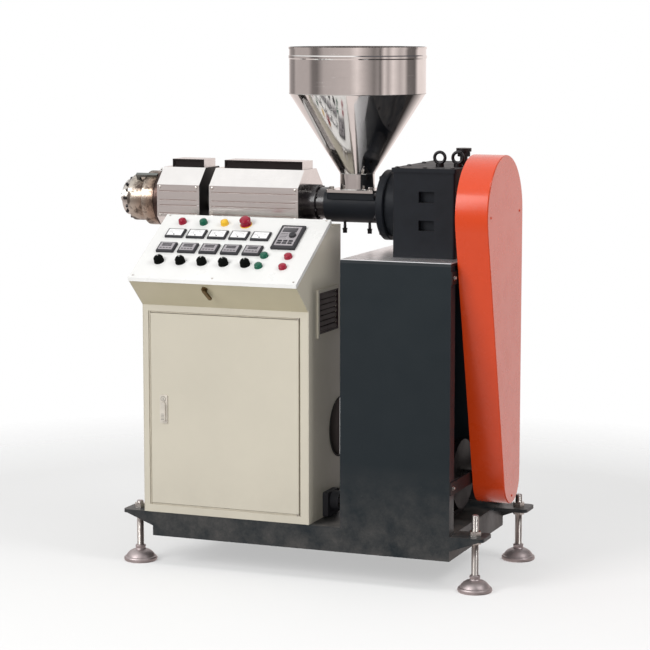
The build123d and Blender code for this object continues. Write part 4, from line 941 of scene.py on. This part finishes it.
class EXTRUDER_OT_console(bpy.types.Operator):
    """Console lid with meters, controllers, knobs, lamps and buttons"""

    bl_idname = "extruder.console"
    bl_label = "Console"

    def execute(self, context):
        dress("console_enamel", "console_lid")
        dress("black_plastic", "panel_meters", "temperature_controllers", "drive_keypad")
        dress("knob_plastic", "selector_knobs")
        dress("red_cap", "emergency_stop")
        dress("turned_steel", "indicator_lamps", "push_buttons")
        sizes = context.scene.extruder_sizes
        for make in (self.meters, self.controllers, self.keypad, self.caps, self.knobs, self.lid_screws):
            make(sizes)
        return {"FINISHED"}

    def meters(self, sizes):
        """White dials with a scale and a needle, inside the black bezels."""
        dial, marks = bmesh.new(), bmesh.new()
        ticks, first_angle, step_angle, needle_angle, scale_radius, proud = 11, 45, 9, 130, 0.022, 0.007
        for x in columns():
            top = lid_place(x, sizes.row_meter, proud)
            add_box(dial, top, size=(0.0465, 0.0290, 0.0010), centre=(0, 0, 0.0002), edge=0.0004)
            for i in range(ticks):
                tick = moved(top, (0, -0.0145, 0.0008), first_angle + step_angle * i)
                long = 0.0036 if i % 5 == 0 else 0.0020
                add_box(marks, tick, size=(long, 0.0004, 0.0002), centre=(scale_radius, 0, 0))
            needle = moved(top, (0, -0.012, 0.0010), needle_angle)
            add_box(marks, needle, size=(0.018, 0.0005, 0.0002), centre=(0.010, 0, 0))
            hub = moved(top, (0, -0.0112, 0.0008))
            add_disc(marks, hub, radius=0.0022, thick=0.0006, edge=0.0002, steps=12)
        piece("meter_dials", dial, "white_dial", "panel_face", "console")
        piece("meter_marks", marks, "print_black", "black_plastic", "console")

    def controllers(self, sizes):
        """Grey faces with two dark display windows and four keys."""
        face, window, keys = bmesh.new(), bmesh.new(), bmesh.new()
        count, pitch, key_row, proud = 4, 0.0096, -0.0095, 0.008
        for x in columns():
            top = lid_place(x, sizes.row_control, proud)
            add_box(face, top, size=(0.0440, 0.0320, 0.0014), centre=(0, 0, 0.0004), edge=0.0005)
            for up in (0.0092, 0.0022):
                add_box(window, top, size=(0.030, 0.0052, 0.0010), centre=(0, up, 0.0013), edge=0.0004)
            for i in range(count):
                spot = ((i - (count - 1) / 2) * pitch, key_row, 0.0015)
                add_box(keys, top, size=(0.0068, 0.0042, 0.0016), centre=spot, edge=0.0008)
        piece("controller_faces", face, "grey_face", "black_plastic", "console")
        piece("controller_windows", window, "window", "black_plastic", "console")
        piece("controller_keys", keys, "grey_key", "black_plastic", "console")

    def keypad(self, sizes):
        """The drive keypad's lined face, display window, keys and round dial."""
        lines, line_pitch, first_line, proud = 4, 0.007, 0.010, 0.009
        key_pitch, key_row_pitch, first_key = 0.0170, 0.0105, 0.0245
        top = lid_place(sizes.keypad_across, sizes.keypad_up, proud)
        face, dark, keys = bmesh.new(), bmesh.new(), bmesh.new()
        add_box(face, top, size=(0.058, 0.090, 0.0016), centre=(0, 0, 0.0004), edge=0.0008)
        add_box(dark, top, size=(0.044, 0.020, 0.0012), centre=(-0.002, 0.028, 0.0014), edge=0.0005)
        for i in range(lines):
            spot = (-0.014, first_line - i * line_pitch, 0.0013)
            add_box(dark, top, size=(0.022, 0.0018, 0.0006), centre=spot, edge=0.0002)
        for i, j in product((-1, 0, 1), (0, 1)):
            spot = (i * key_pitch, -first_key - j * key_row_pitch, 0.0018)
            add_box(keys, top, size=(0.013, 0.007, 0.0022), centre=spot, edge=0.001)
        dial = moved(top, (0.014, 0.001, 0.001))
        add_turned(keys, dial, [(0, 0), (0.0105, 0), (0.0098, 0.006), (0.0088, 0.007), (0, 0.0072)], steps=32)
        add_box(dark, dial, size=(0.0012, 0.0060, 0.0004), centre=(0, 0.005, 0.0073), edge=0.0001)
        piece("keypad_face", face, "grey_face", "black_plastic", "console")
        piece("keypad_window", dark, "window", "black_plastic", "console")
        piece("keypad_keys", keys, "black_plastic", "black_plastic", "console")

    def caps(self, sizes):
        """Coloured domes over the lamps and buttons, and the yellow ring of the stop button."""
        slots = {"red_cap": "red_plastic", "green_cap": "button_plastic", "yellow_cap": "lamp_plastic"}
        caps = {name: bmesh.new() for name in slots}
        skirt = [(0, -UNDER), (0.0123, -UNDER), (0.0123, 0.0022)]
        lamp = skirt + [(0.0114, 0.0034), (0.0113, 0.0094), (0.0100, 0.0122), (0.0060, 0.0148), (0, 0.0157)]
        button = skirt + [(0.0113, 0.0034), (0.0112, 0.0086), (0.0095, 0.0103), (0.0070, 0.0108), (0, 0.0110)]
        for x, name in zip(columns(), caps):
            add_turned(caps[name], lid_place(x, sizes.row_lamps), lamp, steps=32)
        for across, name in ((-sizes.green_buttons, "green_cap"), (sizes.red_buttons, "red_cap")):
            for up in (sizes.button_low, sizes.button_high):
                add_turned(caps[name], lid_place(sizes.keypad_across + across, up), button, steps=32)
        stop = lid_place(columns()[len(caps)], sizes.row_lamps)
        add_ring(caps["yellow_cap"], stop, inner=0.0163, outer=0.0180, thick=0.0026, base=-UNDER, edge=0.0005)
        for name, bm in caps.items():
            piece(name + "s", bm, name, slots[name], "console")

    def knobs(self, sizes):
        """Grip ribs and pointers on the knobs, and the marks round them."""
        ribs, pointers = bmesh.new(), bmesh.new()
        grip_radius, grips, mark_angle, first_turn, next_turn = 0.0134, 16, 60, 35, -20
        for i, x in enumerate(columns()):
            spot = lid_place(x, sizes.row_knobs)
            knob = moved(spot, degrees=first_turn + next_turn * (i % 3))
            for rib in circle_places(knob.translation, knob.col[2].to_3d(), grip_radius, grips):
                add_box(ribs, rib, size=(0.0012, 0.0014, 0.0100), centre=(0, 0, 0.0085), edge=0.0003, steps=1)
            add_box(pointers, knob, size=(0.0016, 0.0090, 0.0008), centre=(0, 0.0040, 0.0202), edge=0.0002)
            for angle in both_sides(0, mark_angle):
                mark = moved(spot, degrees=angle)
                add_box(ribs, mark, size=(0.0010, 0.0030, 0.0003), centre=(0, 0.0185, 0.0001))
        piece("knob_ribs", ribs, "knob_plastic", "black_plastic", "console")
        piece("knob_pointers", pointers, "print_white", "panel_face", "console")

    def lid_screws(self, sizes):
        """Pan head screws at the corners of the lid and the middle of its long edges."""
        inset, past_meters = 0.012, 0.055
        wide = high("console_lid").x - low("console_lid").x
        top = (high("panel_meters").y - low("console_lid").y) / math.cos(sizes.slope) + past_meters
        spots = product((inset, wide / 2, wide - inset), (inset, top))
        fasteners("lid_screws", add_screw, sizes.screw * 0.8, [lid_place(*spot) for spot in spots],
                  body="console")


class EXTRUDER_OT_barrel(bpy.types.Operator):
    """Heater covers, barrel flange, feed throat and die"""

    bl_idname = "extruder.barrel"
    bl_label = "Barrel and Die"

    def execute(self, context):
        dress("die_cover_sheet", "die_side_cover")
        dress("hopper_cover_sheet", "hopper_side_cover")
        dress("vent_box_sheet", "vent_boxes")
        dress("machined_steel", "barrel")
        dress("aged_steel", "die_bracket")
        dress("band_heat", "die_heater_band")
        dress("flange_enamel", "barrel_flange")
        dress("black_oxide", "die_bolts", "cooling_nipples")
        dress("die_flange_heat", "die_flange")
        dress("die_heat", "die_body")
        dress("dark_casting", "feed_throat")
        sizes = context.scene.extruder_sizes
        self.cover_screws(sizes.screw)
        self.flange_screws()
        self.hopper_bolts(sizes.bolt)
        self.band_terminals()
        self.die_marks()
        self.nipple_ridges()
        return {"FINISHED"}

    def cover_screws(self, width):
        """Screws at the ends of the covers' two upright sides."""
        inset, rows, spots = 0.010, (-0.043, 0.041), []
        for node in ("die_side_cover", "hopper_side_cover"):
            lo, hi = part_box(node)
            sides = (lo.y, -Y), (hi.y, Y)
            for (y, out), x, up in product(sides, ends(lo.x, hi.x, inset), rows):
                spots.append(place((x, y, middle(node).z + up), out))
        fasteners("cover_screws", add_screw, width, spots)

    def flange_screws(self):
        """Cap screws round the barrel flange's die side."""
        axis, count, ring, from_end, width = middle("barrel"), 8, 0.0505, 0.028, 0.0052
        centre = (high("barrel_flange").x - from_end, axis.y, axis.z)
        spots = circle_places(centre, X, ring, count, math.pi / count)
        fasteners("flange_screws", add_cap_screw, width, spots, "black_oxide", "black_metal")

    def hopper_bolts(self, flats):
        """Bolts in the corners of the hopper's square flange."""
        lo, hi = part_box("hopper_neck")
        inset_x, inset_y = 0.014, 0.013
        corners = product(ends(lo.x, hi.x, inset_x), ends(lo.y, hi.y, inset_y), [hopper_flange_top()])
        fasteners("hopper_bolts", add_bolt, flats, map(place, corners))

    def band_terminals(self):
        """Two insulated terminal posts on the back of the heater band."""
        posts, nuts = bmesh.new(), bmesh.new()
        axis, mid = middle("barrel"), middle("die_heater_band")
        lean, radius, half_pitch = math.radians(62), 0.0815, 0.010
        out = Vector((0, math.cos(lean), math.sin(lean)))
        profile = [(0, 0), (0.006, 0), (0.006, 0.004), (0.0048, 0.005), (0.0048, 0.009), (0.0035, 0.010),
                   (0, 0.010)]
        for x in both_sides(mid.x, half_pitch):
            spot = place(Vector((x, axis.y, axis.z)) + out * radius, out)
            add_turned(posts, spot, profile, steps=20)
            add_hexagon(nuts, spot, flats=0.006, height=0.003, base=0.0098)
            add_disc(nuts, spot, radius=0.0016, thick=0.006, base=0.0120, edge=0.0004, steps=10)
        piece("band_posts", posts, "white_dial", "panel_face")
        piece("band_nuts", nuts)

    def die_marks(self):
        """Sockets of the die's bolts as flat black hexagons of painted shade, and the dark rim round its
        outlet.
        """
        bm = bmesh.new()
        axis, lo = middle("barrel"), low("die_body")
        heads_back, bolt_ring, count = 0.0389, 0.062, 8
        heads = (lo.x + heads_back, axis.y, axis.z)
        # painted shade: each socket is a flat black hexagon, not a recess
        for spot in circle_places(heads, -X, bolt_ring, count, math.pi / count):
            add_hexagon(bm, spot, flats=0.0050, height=0.0004)
        outlet = place((lo.x, axis.y, axis.z), -X, Z)
        add_ring(bm, outlet, inner=0.0092, outer=0.0104, thick=0.0003, base=-UNDER, edge=0.0001, steps=32)
        piece("die_sockets", bm, "rubber", "black_metal")

    def nipple_ridges(self):
        """Hexagons and hose ridges of the two cooling nipples."""
        bm = bmesh.new()
        lo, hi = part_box("cooling_nipples")
        root, crest, shoulder, tall, inset, hexagon_up = 0.0036, 0.0050, 0.0041, 0.0030, 0.0065, 0.0100
        for x in ends(lo.x, hi.x, inset):
            spot = place((x, (lo.y + hi.y) / 2, lo.z + hexagon_up))
            add_hexagon(bm, spot, flats=0.0130, height=0.0050, base=-0.0002)
            for up in (0.0075, 0.0115):
                top = up + tall
                ridge = [(root, up), (crest, up), (shoulder, top), (root, top), (root, up)]
                add_turned(bm, spot, ridge, steps=18)
        piece("nipple_ridges", bm, "black_oxide")


class EXTRUDER_OT_hopper(bpy.types.Operator):
    """Hopper sheet and its seams"""

    bl_idname = "extruder.hopper"
    bl_label = "Hopper"

    def execute(self, context):
        dress("hopper_sheet", "hopper_neck", "hopper_cone", "hopper_drum")
        self.seams()
        return {"FINISHED"}

    def seams(self):
        """Weld seams where drum, cone, neck and flange meet, and the drum's upright seam at the back."""
        bm = bmesh.new()
        lo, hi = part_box("hopper_cone")
        axis, radius, neck = middle("hopper_cone"), (hi.x - lo.x) / 2, 0.051
        thin, thick, sides, over_cone, under_rim = 0.0012, 0.0018, 6, 0.004, 0.038
        for r, z, size in ((radius, hi.z, thin), (neck, lo.z, thin), (neck, hopper_flange_top(), thick)):
            angles = [math.tau * i / sides for i in range(sides + 1)]
            profile = [(r + size * math.cos(a), size * math.sin(a)) for a in angles]
            add_turned(bm, place((axis.x, axis.y, z)), profile, steps=64)
        y, bottom, top = axis.y + radius, hi.z + over_cone, high("hopper_drum").z - under_rim
        add_bead(bm, (axis.x, y, bottom), (axis.x, y, top), radius=0.0011, pitch=0.0016)
        piece("hopper_seams", bm, "turned_steel", "stainless")


class EXTRUDER_OT_drive(bpy.types.Operator):
    """Gearbox, belt guard and motor"""

    bl_idname = "extruder.drive"
    bl_label = "Drive"

    def execute(self, context):
        dress("dark_casting", "gearbox_case", "gearbox_lid", "thrust_housing")
        dress("shaded_enamel", "motor", "motor_fan_cowl")
        dress("black_oxide", "lifting_eyes", "breather")
        dress("guard_enamel", "belt_guard")
        dress("turned_steel", "drive_shafts")
        self.gearbox_bolts(context.scene.extruder_sizes.bolt)
        self.oil_fittings()
        self.breather_ribs()
        self.motor_box()
        self.guard_screws()
        return {"FINISHED"}

    def gearbox_bolts(self, width):
        """Screws round the gearbox lid and bolts on the thrust housing's ring."""
        bm = bmesh.new()
        lo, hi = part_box("gearbox_lid")
        inset, inset_mid, ring, count = 0.014, 0.115, 0.086, 8
        long_sides = product(((lo.x + hi.x) / 2, *ends(lo.x, hi.x, inset)), ends(lo.y, hi.y, inset))
        short_sides = product(ends(lo.x, hi.x, inset), ends(lo.y, hi.y, inset_mid))
        for x, y in (*long_sides, *short_sides):
            add_screw(bm, place((x, y, hi.z)), width)
        axis, face = middle("barrel"), low("thrust_housing").x
        for spot in circle_places((face, axis.y, axis.z), -X, ring, count, math.pi / count):
            add_bolt(bm, spot, width)
        piece("gearbox_bolts", bm, "black_oxide", "black_metal")

    def oil_fittings(self):
        """Oil gauge glass, drain plug and filler plug on the gearbox's back."""
        steel, glass = bmesh.new(), bmesh.new()
        lo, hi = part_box("gearbox_case")
        x = middle("gearbox_case").x
        gauge_x, plug_x, gauge_up, plugs_up = x - 0.040, x + 0.045, 0.150, (0.022, 0.205)
        gauge = place((gauge_x, hi.y, lo.z + gauge_up), Y)
        add_ring(steel, gauge, inner=0.0120, outer=0.0170, thick=0.006, base=-UNDER, edge=0.0008)
        add_disc(glass, gauge, radius=0.0122, thick=0.0035, base=-UNDER, edge=0.0005, steps=32)
        for up in plugs_up:
            plug = place((plug_x, hi.y, lo.z + up), Y)
            add_ring(steel, plug, inner=0.004, outer=0.0115, thick=0.0020, base=-UNDER)
            add_hexagon(steel, plug, flats=0.017, height=0.009, base=0.0015)
        piece("oil_fittings", steel)
        piece("oil_glass", glass, "gauge_glass", "lamp_plastic")

    def breather_ribs(self):
        """Vent ribs round the breather's cap and the hexagon on its neck."""
        bm = bmesh.new()
        mid, bottom = middle("breather"), low("breather").z
        ribs_up, radius, count = 0.0245, 0.0172, 20
        for spot in circle_places((mid.x, mid.y, bottom + ribs_up), Z, radius, count):
            add_box(bm, spot, size=(0.0016, 0.0016, 0.0130), centre=(0, 0, 0.0065), edge=0.0003, steps=1)
        add_hexagon(bm, place((mid.x, mid.y, bottom)), flats=0.026, height=0.010, base=-UNDER)
        piece("breather_ribs", bm, "black_oxide")

    def motor_box(self):
        """The terminal box with its cover screws and cable gland, and the bolts in the motor's feet."""
        box, zinc = bmesh.new(), bmesh.new()
        mid, hi, cowl = middle("motor"), high("motor"), high("motor_fan_cowl").x
        behind_cowl, sunk, foot_high, gland_up, lid_top = 0.085, 0.016, 0.014, 0.028, 0.058
        x, z = cowl + behind_cowl, hi.z - sunk
        spot = place((x, mid.y, z))
        add_box(box, spot, size=(0.085, 0.075, 0.052), centre=(0, 0, 0.026), edge=0.004)
        add_box(box, spot, size=(0.091, 0.081, 0.007), centre=(0, 0, 0.0545), edge=0.0025)
        gland = [(0, 0), (0.011, 0), (0.011, 0.008), (0.009, 0.010), (0.009, 0.018), (0, 0.018)]
        add_turned(box, place((x, mid.y - 0.037, z + gland_up), -Y), gland, steps=24)
        for corner in product(both_sides(x, 0.038), both_sides(mid.y, 0.033), [z + lid_top]):
            add_screw(zinc, place(corner), width=0.0065)
        feet_x, base = (cowl + 0.034, hi.x - 0.044), high("base_deck").z + foot_high
        for corner in product(feet_x, both_sides(mid.y, 0.085), [base]):
            add_bolt(zinc, place(corner), flats=0.016)
        piece("motor_terminal_box", box, "shaded_enamel", "machine_paint")
        piece("motor_bolts", zinc)

    def guard_screws(self):
        """Screws through the guard's outer face: two near the gearbox shaft, one under the motor's."""
        lo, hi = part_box("belt_guard")
        upper, front, back, lower, width = hi.z - 0.165, 0.030, 0.300, 0.022, 0.007
        spots = (lo.y + front, upper), (lo.y + back, upper), (middle("motor").y, lo.z + lower)
        fasteners("guard_screws", add_screw, width, [place((hi.x, y, z), X, Z) for y, z in spots],
                  "guard_enamel")


class EXTRUDER_OT_stage(bpy.types.Operator):
    """Floor, room light, lamps and camera"""

    bl_idname = "extruder.stage"
    bl_label = "Stage"

    def execute(self, context):
        settings = context.scene.extruder_stage
        self.floor()
        self.room(context, settings.fill)
        self.lamps(settings)
        camera = add_object("camera", bpy.data.cameras.new("camera"))
        camera.data.lens = settings.lens
        camera.data.clip_end = 60.0
        look(camera, settings.eye, settings.aim)
        context.scene.camera = camera
        context.scene.view_settings.view_transform = "Standard"
        return {"FINISHED"}

    def lamps(self, settings):
        """Square soft lamps. The top and front lamps don't show in polished metal."""
        target = (0, 0, 0.8)
        for name, where, size, power, mirrored in (
                ("key_light", (-2.6, -4.6, 3.4), 3.0, settings.key, True),
                ("top_light", (0.4, 0.2, 4.2), 3.4, settings.top, False),
                ("side_light", (3.4, -0.8, 3.6), 1.4, settings.side, True),
                ("front_light", (1.6, -4.9, 0.6), 1.2, settings.front, False)):
            light = bpy.data.lights.new(name, "AREA")
            light.size, light.energy = size, power
            lamp = add_object(name, light)
            lamp.visible_glossy = mirrored
            look(lamp, where, target)

    def floor(self):
        """A pale floor that keeps the shadow near the machine and gives way to the white room further out."""
        bm = bmesh.new()
        bmesh.ops.create_grid(bm, x_segments=1, y_segments=1, size=6.0)
        mesh = bpy.data.meshes.new("floor")
        bm.to_mesh(mesh)
        bm.free()
        floor = add_object("floor", mesh)
        made = bpy.data.materials.new("pale_floor")
        s = clear_tree(made)
        where = s.object_place()
        fade_start, fade_end, white_near, white_bounce = 0.8, 2.6, 0.45, 0.6
        cloud = s.noise(where, scale=1.3, detail=4.0, rough=0.6)
        tone = s.mix(cloud, (0.92, 0.92, 0.92, 1), (0.95, 0.95, 0.95, 1))
        paint = s.node("ShaderNodeBsdfDiffuse", {"Color": tone}).outputs[0]
        clear = s.node("ShaderNodeBsdfTransparent").outputs[0]
        away = s.node("ShaderNodeVectorMath", {0: where}, operation="LENGTH").outputs["Value"]
        far = s.band(away, fade_start, fade_end)
        ray = s.node("ShaderNodeLightPath").outputs
        seen = s.math("MULTIPLY", ray["Is Camera Ray"], s.math("MAXIMUM", far, white_near))
        bounce = s.math("MULTIPLY", ray["Is Diffuse Ray"], white_bounce)
        seen = s.math("MAXIMUM", seen, ray["Is Glossy Ray"], ray["Is Transmission Ray"], bounce)
        both = s.node("ShaderNodeMixShader", {0: seen, 1: paint, 2: clear})
        s.node("ShaderNodeOutputMaterial", {"Surface": both.outputs[0]})
        mesh.materials.append(made)

    def room(self, context, strength):
        """White to the camera, a soft even light, and pale and dark walls for the metal to show."""
        world = bpy.data.worlds.new("studio")
        context.scene.world = world
        s = clear_tree(world)
        ray = s.node("ShaderNodeLightPath").outputs
        way = s.split(s.node("ShaderNodeTexCoord").outputs["Generated"])
        turn = s.band(s.math("ARCTAN2", way["Y"], way["X"]), -math.pi, math.pi)
        walls, horizon, ground = (s.ramp(turn, round_stops(view)) for view in (WALLS, HORIZON, GROUND))
        to_ceiling, to_horizon, to_ground = (0.22, 0.45), (-0.04, -0.08), (-0.30, -0.55)
        pale, dark = (0.96, 0.96, 0.96, 1), (0.10, 0.10, 0.11, 1)
        from_below, from_above = (0.36, 0.345, 0.33, 1), (1.0, 0.99, 0.975, 1)
        ceiling = s.mix(s.band(way["X"], 0.05, 0.20), pale, dark)
        shown = s.mix(s.band(way["Z"], *to_ceiling), walls, ceiling)
        shown = s.mix(s.band(way["Z"], *to_horizon), shown, horizon)
        shown = s.mix(s.band(way["Z"], *to_ground), shown, ground)
        soft = s.mix(s.band(way["Z"], -0.08, 0.08), from_below, from_above)
        brighter_up = s.band(way["Z"], 0.55, 0.80, to_low=1.1, to_high=1.45)
        light = s.node("ShaderNodeBackground", {"Color": soft, "Strength": strength})
        mirror = s.node("ShaderNodeBackground", {"Color": shown, "Strength": brighter_up})
        white = s.node("ShaderNodeBackground", {"Color": (1, 1, 1, 1), "Strength": 1.0})
        sides = {0: ray["Is Glossy Ray"], 1: light.outputs[0], 2: mirror.outputs[0]}
        unseen = s.node("ShaderNodeMixShader", sides).outputs[0]
        seen = s.math("MAXIMUM", ray["Is Camera Ray"], ray["Is Transmission Ray"])
        final = s.node("ShaderNodeMixShader", {0: seen, 1: unseen, 2: white.outputs[0]})
        s.node("ShaderNodeOutputWorld", {"Surface": final.outputs[0]})


# What polished metal shows all round: azimuth in degrees from +X, and how pale it is there
WALLS = [(-180, 0.54), (-160, 0.54), (-151, 0.22), (-141, 0.19), (-128, 0.52), (-82, 0.66), (-70, 1.0),
         (-60, 0.68), (-42, 0.25), (-35, 0.38), (-31, 0.15), (-24, 0.92), (-17, 0.50), (-8, 1.0), (6, 0.58),
         (16, 0.76), (24, 0.20), (43, 0.15), (53, 1.0), (110, 0.92), (140, 0.34), (155, 0.28), (163, 0.54),
         (180, 0.54)]
HORIZON = [(-180, 0.54), (-95, 0.47), (-60, 0.33), (20, 0.72), (60, 0.95), (120, 0.90), (180, 0.56)]
GROUND = [(-180, 0.90), (-68, 0.93), (-65, 0.033), (92, 0.036), (100, 0.80), (180, 0.90)]
WARMTH = (1.0, 0.89, 0.86)


def round_stops(view):
    """Colour stops of a view all round, from -180 to 180 degrees."""
    return [((azimuth + 180.0) / 360.0, [pale * tint for tint in WARMTH]) for azimuth, pale in view]


OPERATORS = (EXTRUDER_OT_base, EXTRUDER_OT_cabinet, EXTRUDER_OT_console, EXTRUDER_OT_barrel,
             EXTRUDER_OT_hopper, EXTRUDER_OT_drive, EXTRUDER_OT_stage)


class EXTRUDER_PT_panel(bpy.types.Panel):
    """Lists the piece groups"""

    bl_idname = "EXTRUDER_PT_panel"
    bl_label = "Extruder"
    bl_space_type = "VIEW_3D"
    bl_region_type = "UI"
    bl_category = "Extruder"

    def draw(self, context):
        """Draw a button for each group of pieces."""
        for operator in OPERATORS:
            self.layout.operator(operator.bl_idname)


CLASSES = (ExtruderColours, ExtruderSizes, StageSettings) + OPERATORS + (EXTRUDER_PT_panel,)
SETTINGS = {"extruder_colours": ExtruderColours, "extruder_sizes": ExtruderSizes,
            "extruder_stage": StageSettings}


def register():
    """Register the classes and hang the settings on the scene."""
    for cls in CLASSES:
        bpy.utils.register_class(cls)
    for name, kind in SETTINGS.items():
        setattr(bpy.types.Scene, name, PointerProperty(type=kind))


def unregister():
    """Take the settings and classes away."""
    for name in SETTINGS:
        delattr(bpy.types.Scene, name)
    for cls in reversed(CLASSES):
        bpy.utils.unregister_class(cls)


def main():
    """Make every piece in order."""
    register()
    for operator in OPERATORS:
        group_name, action = operator.bl_idname.split(".")
        getattr(getattr(bpy.ops, group_name), action)()


if __name__ == "__main__":
    main()
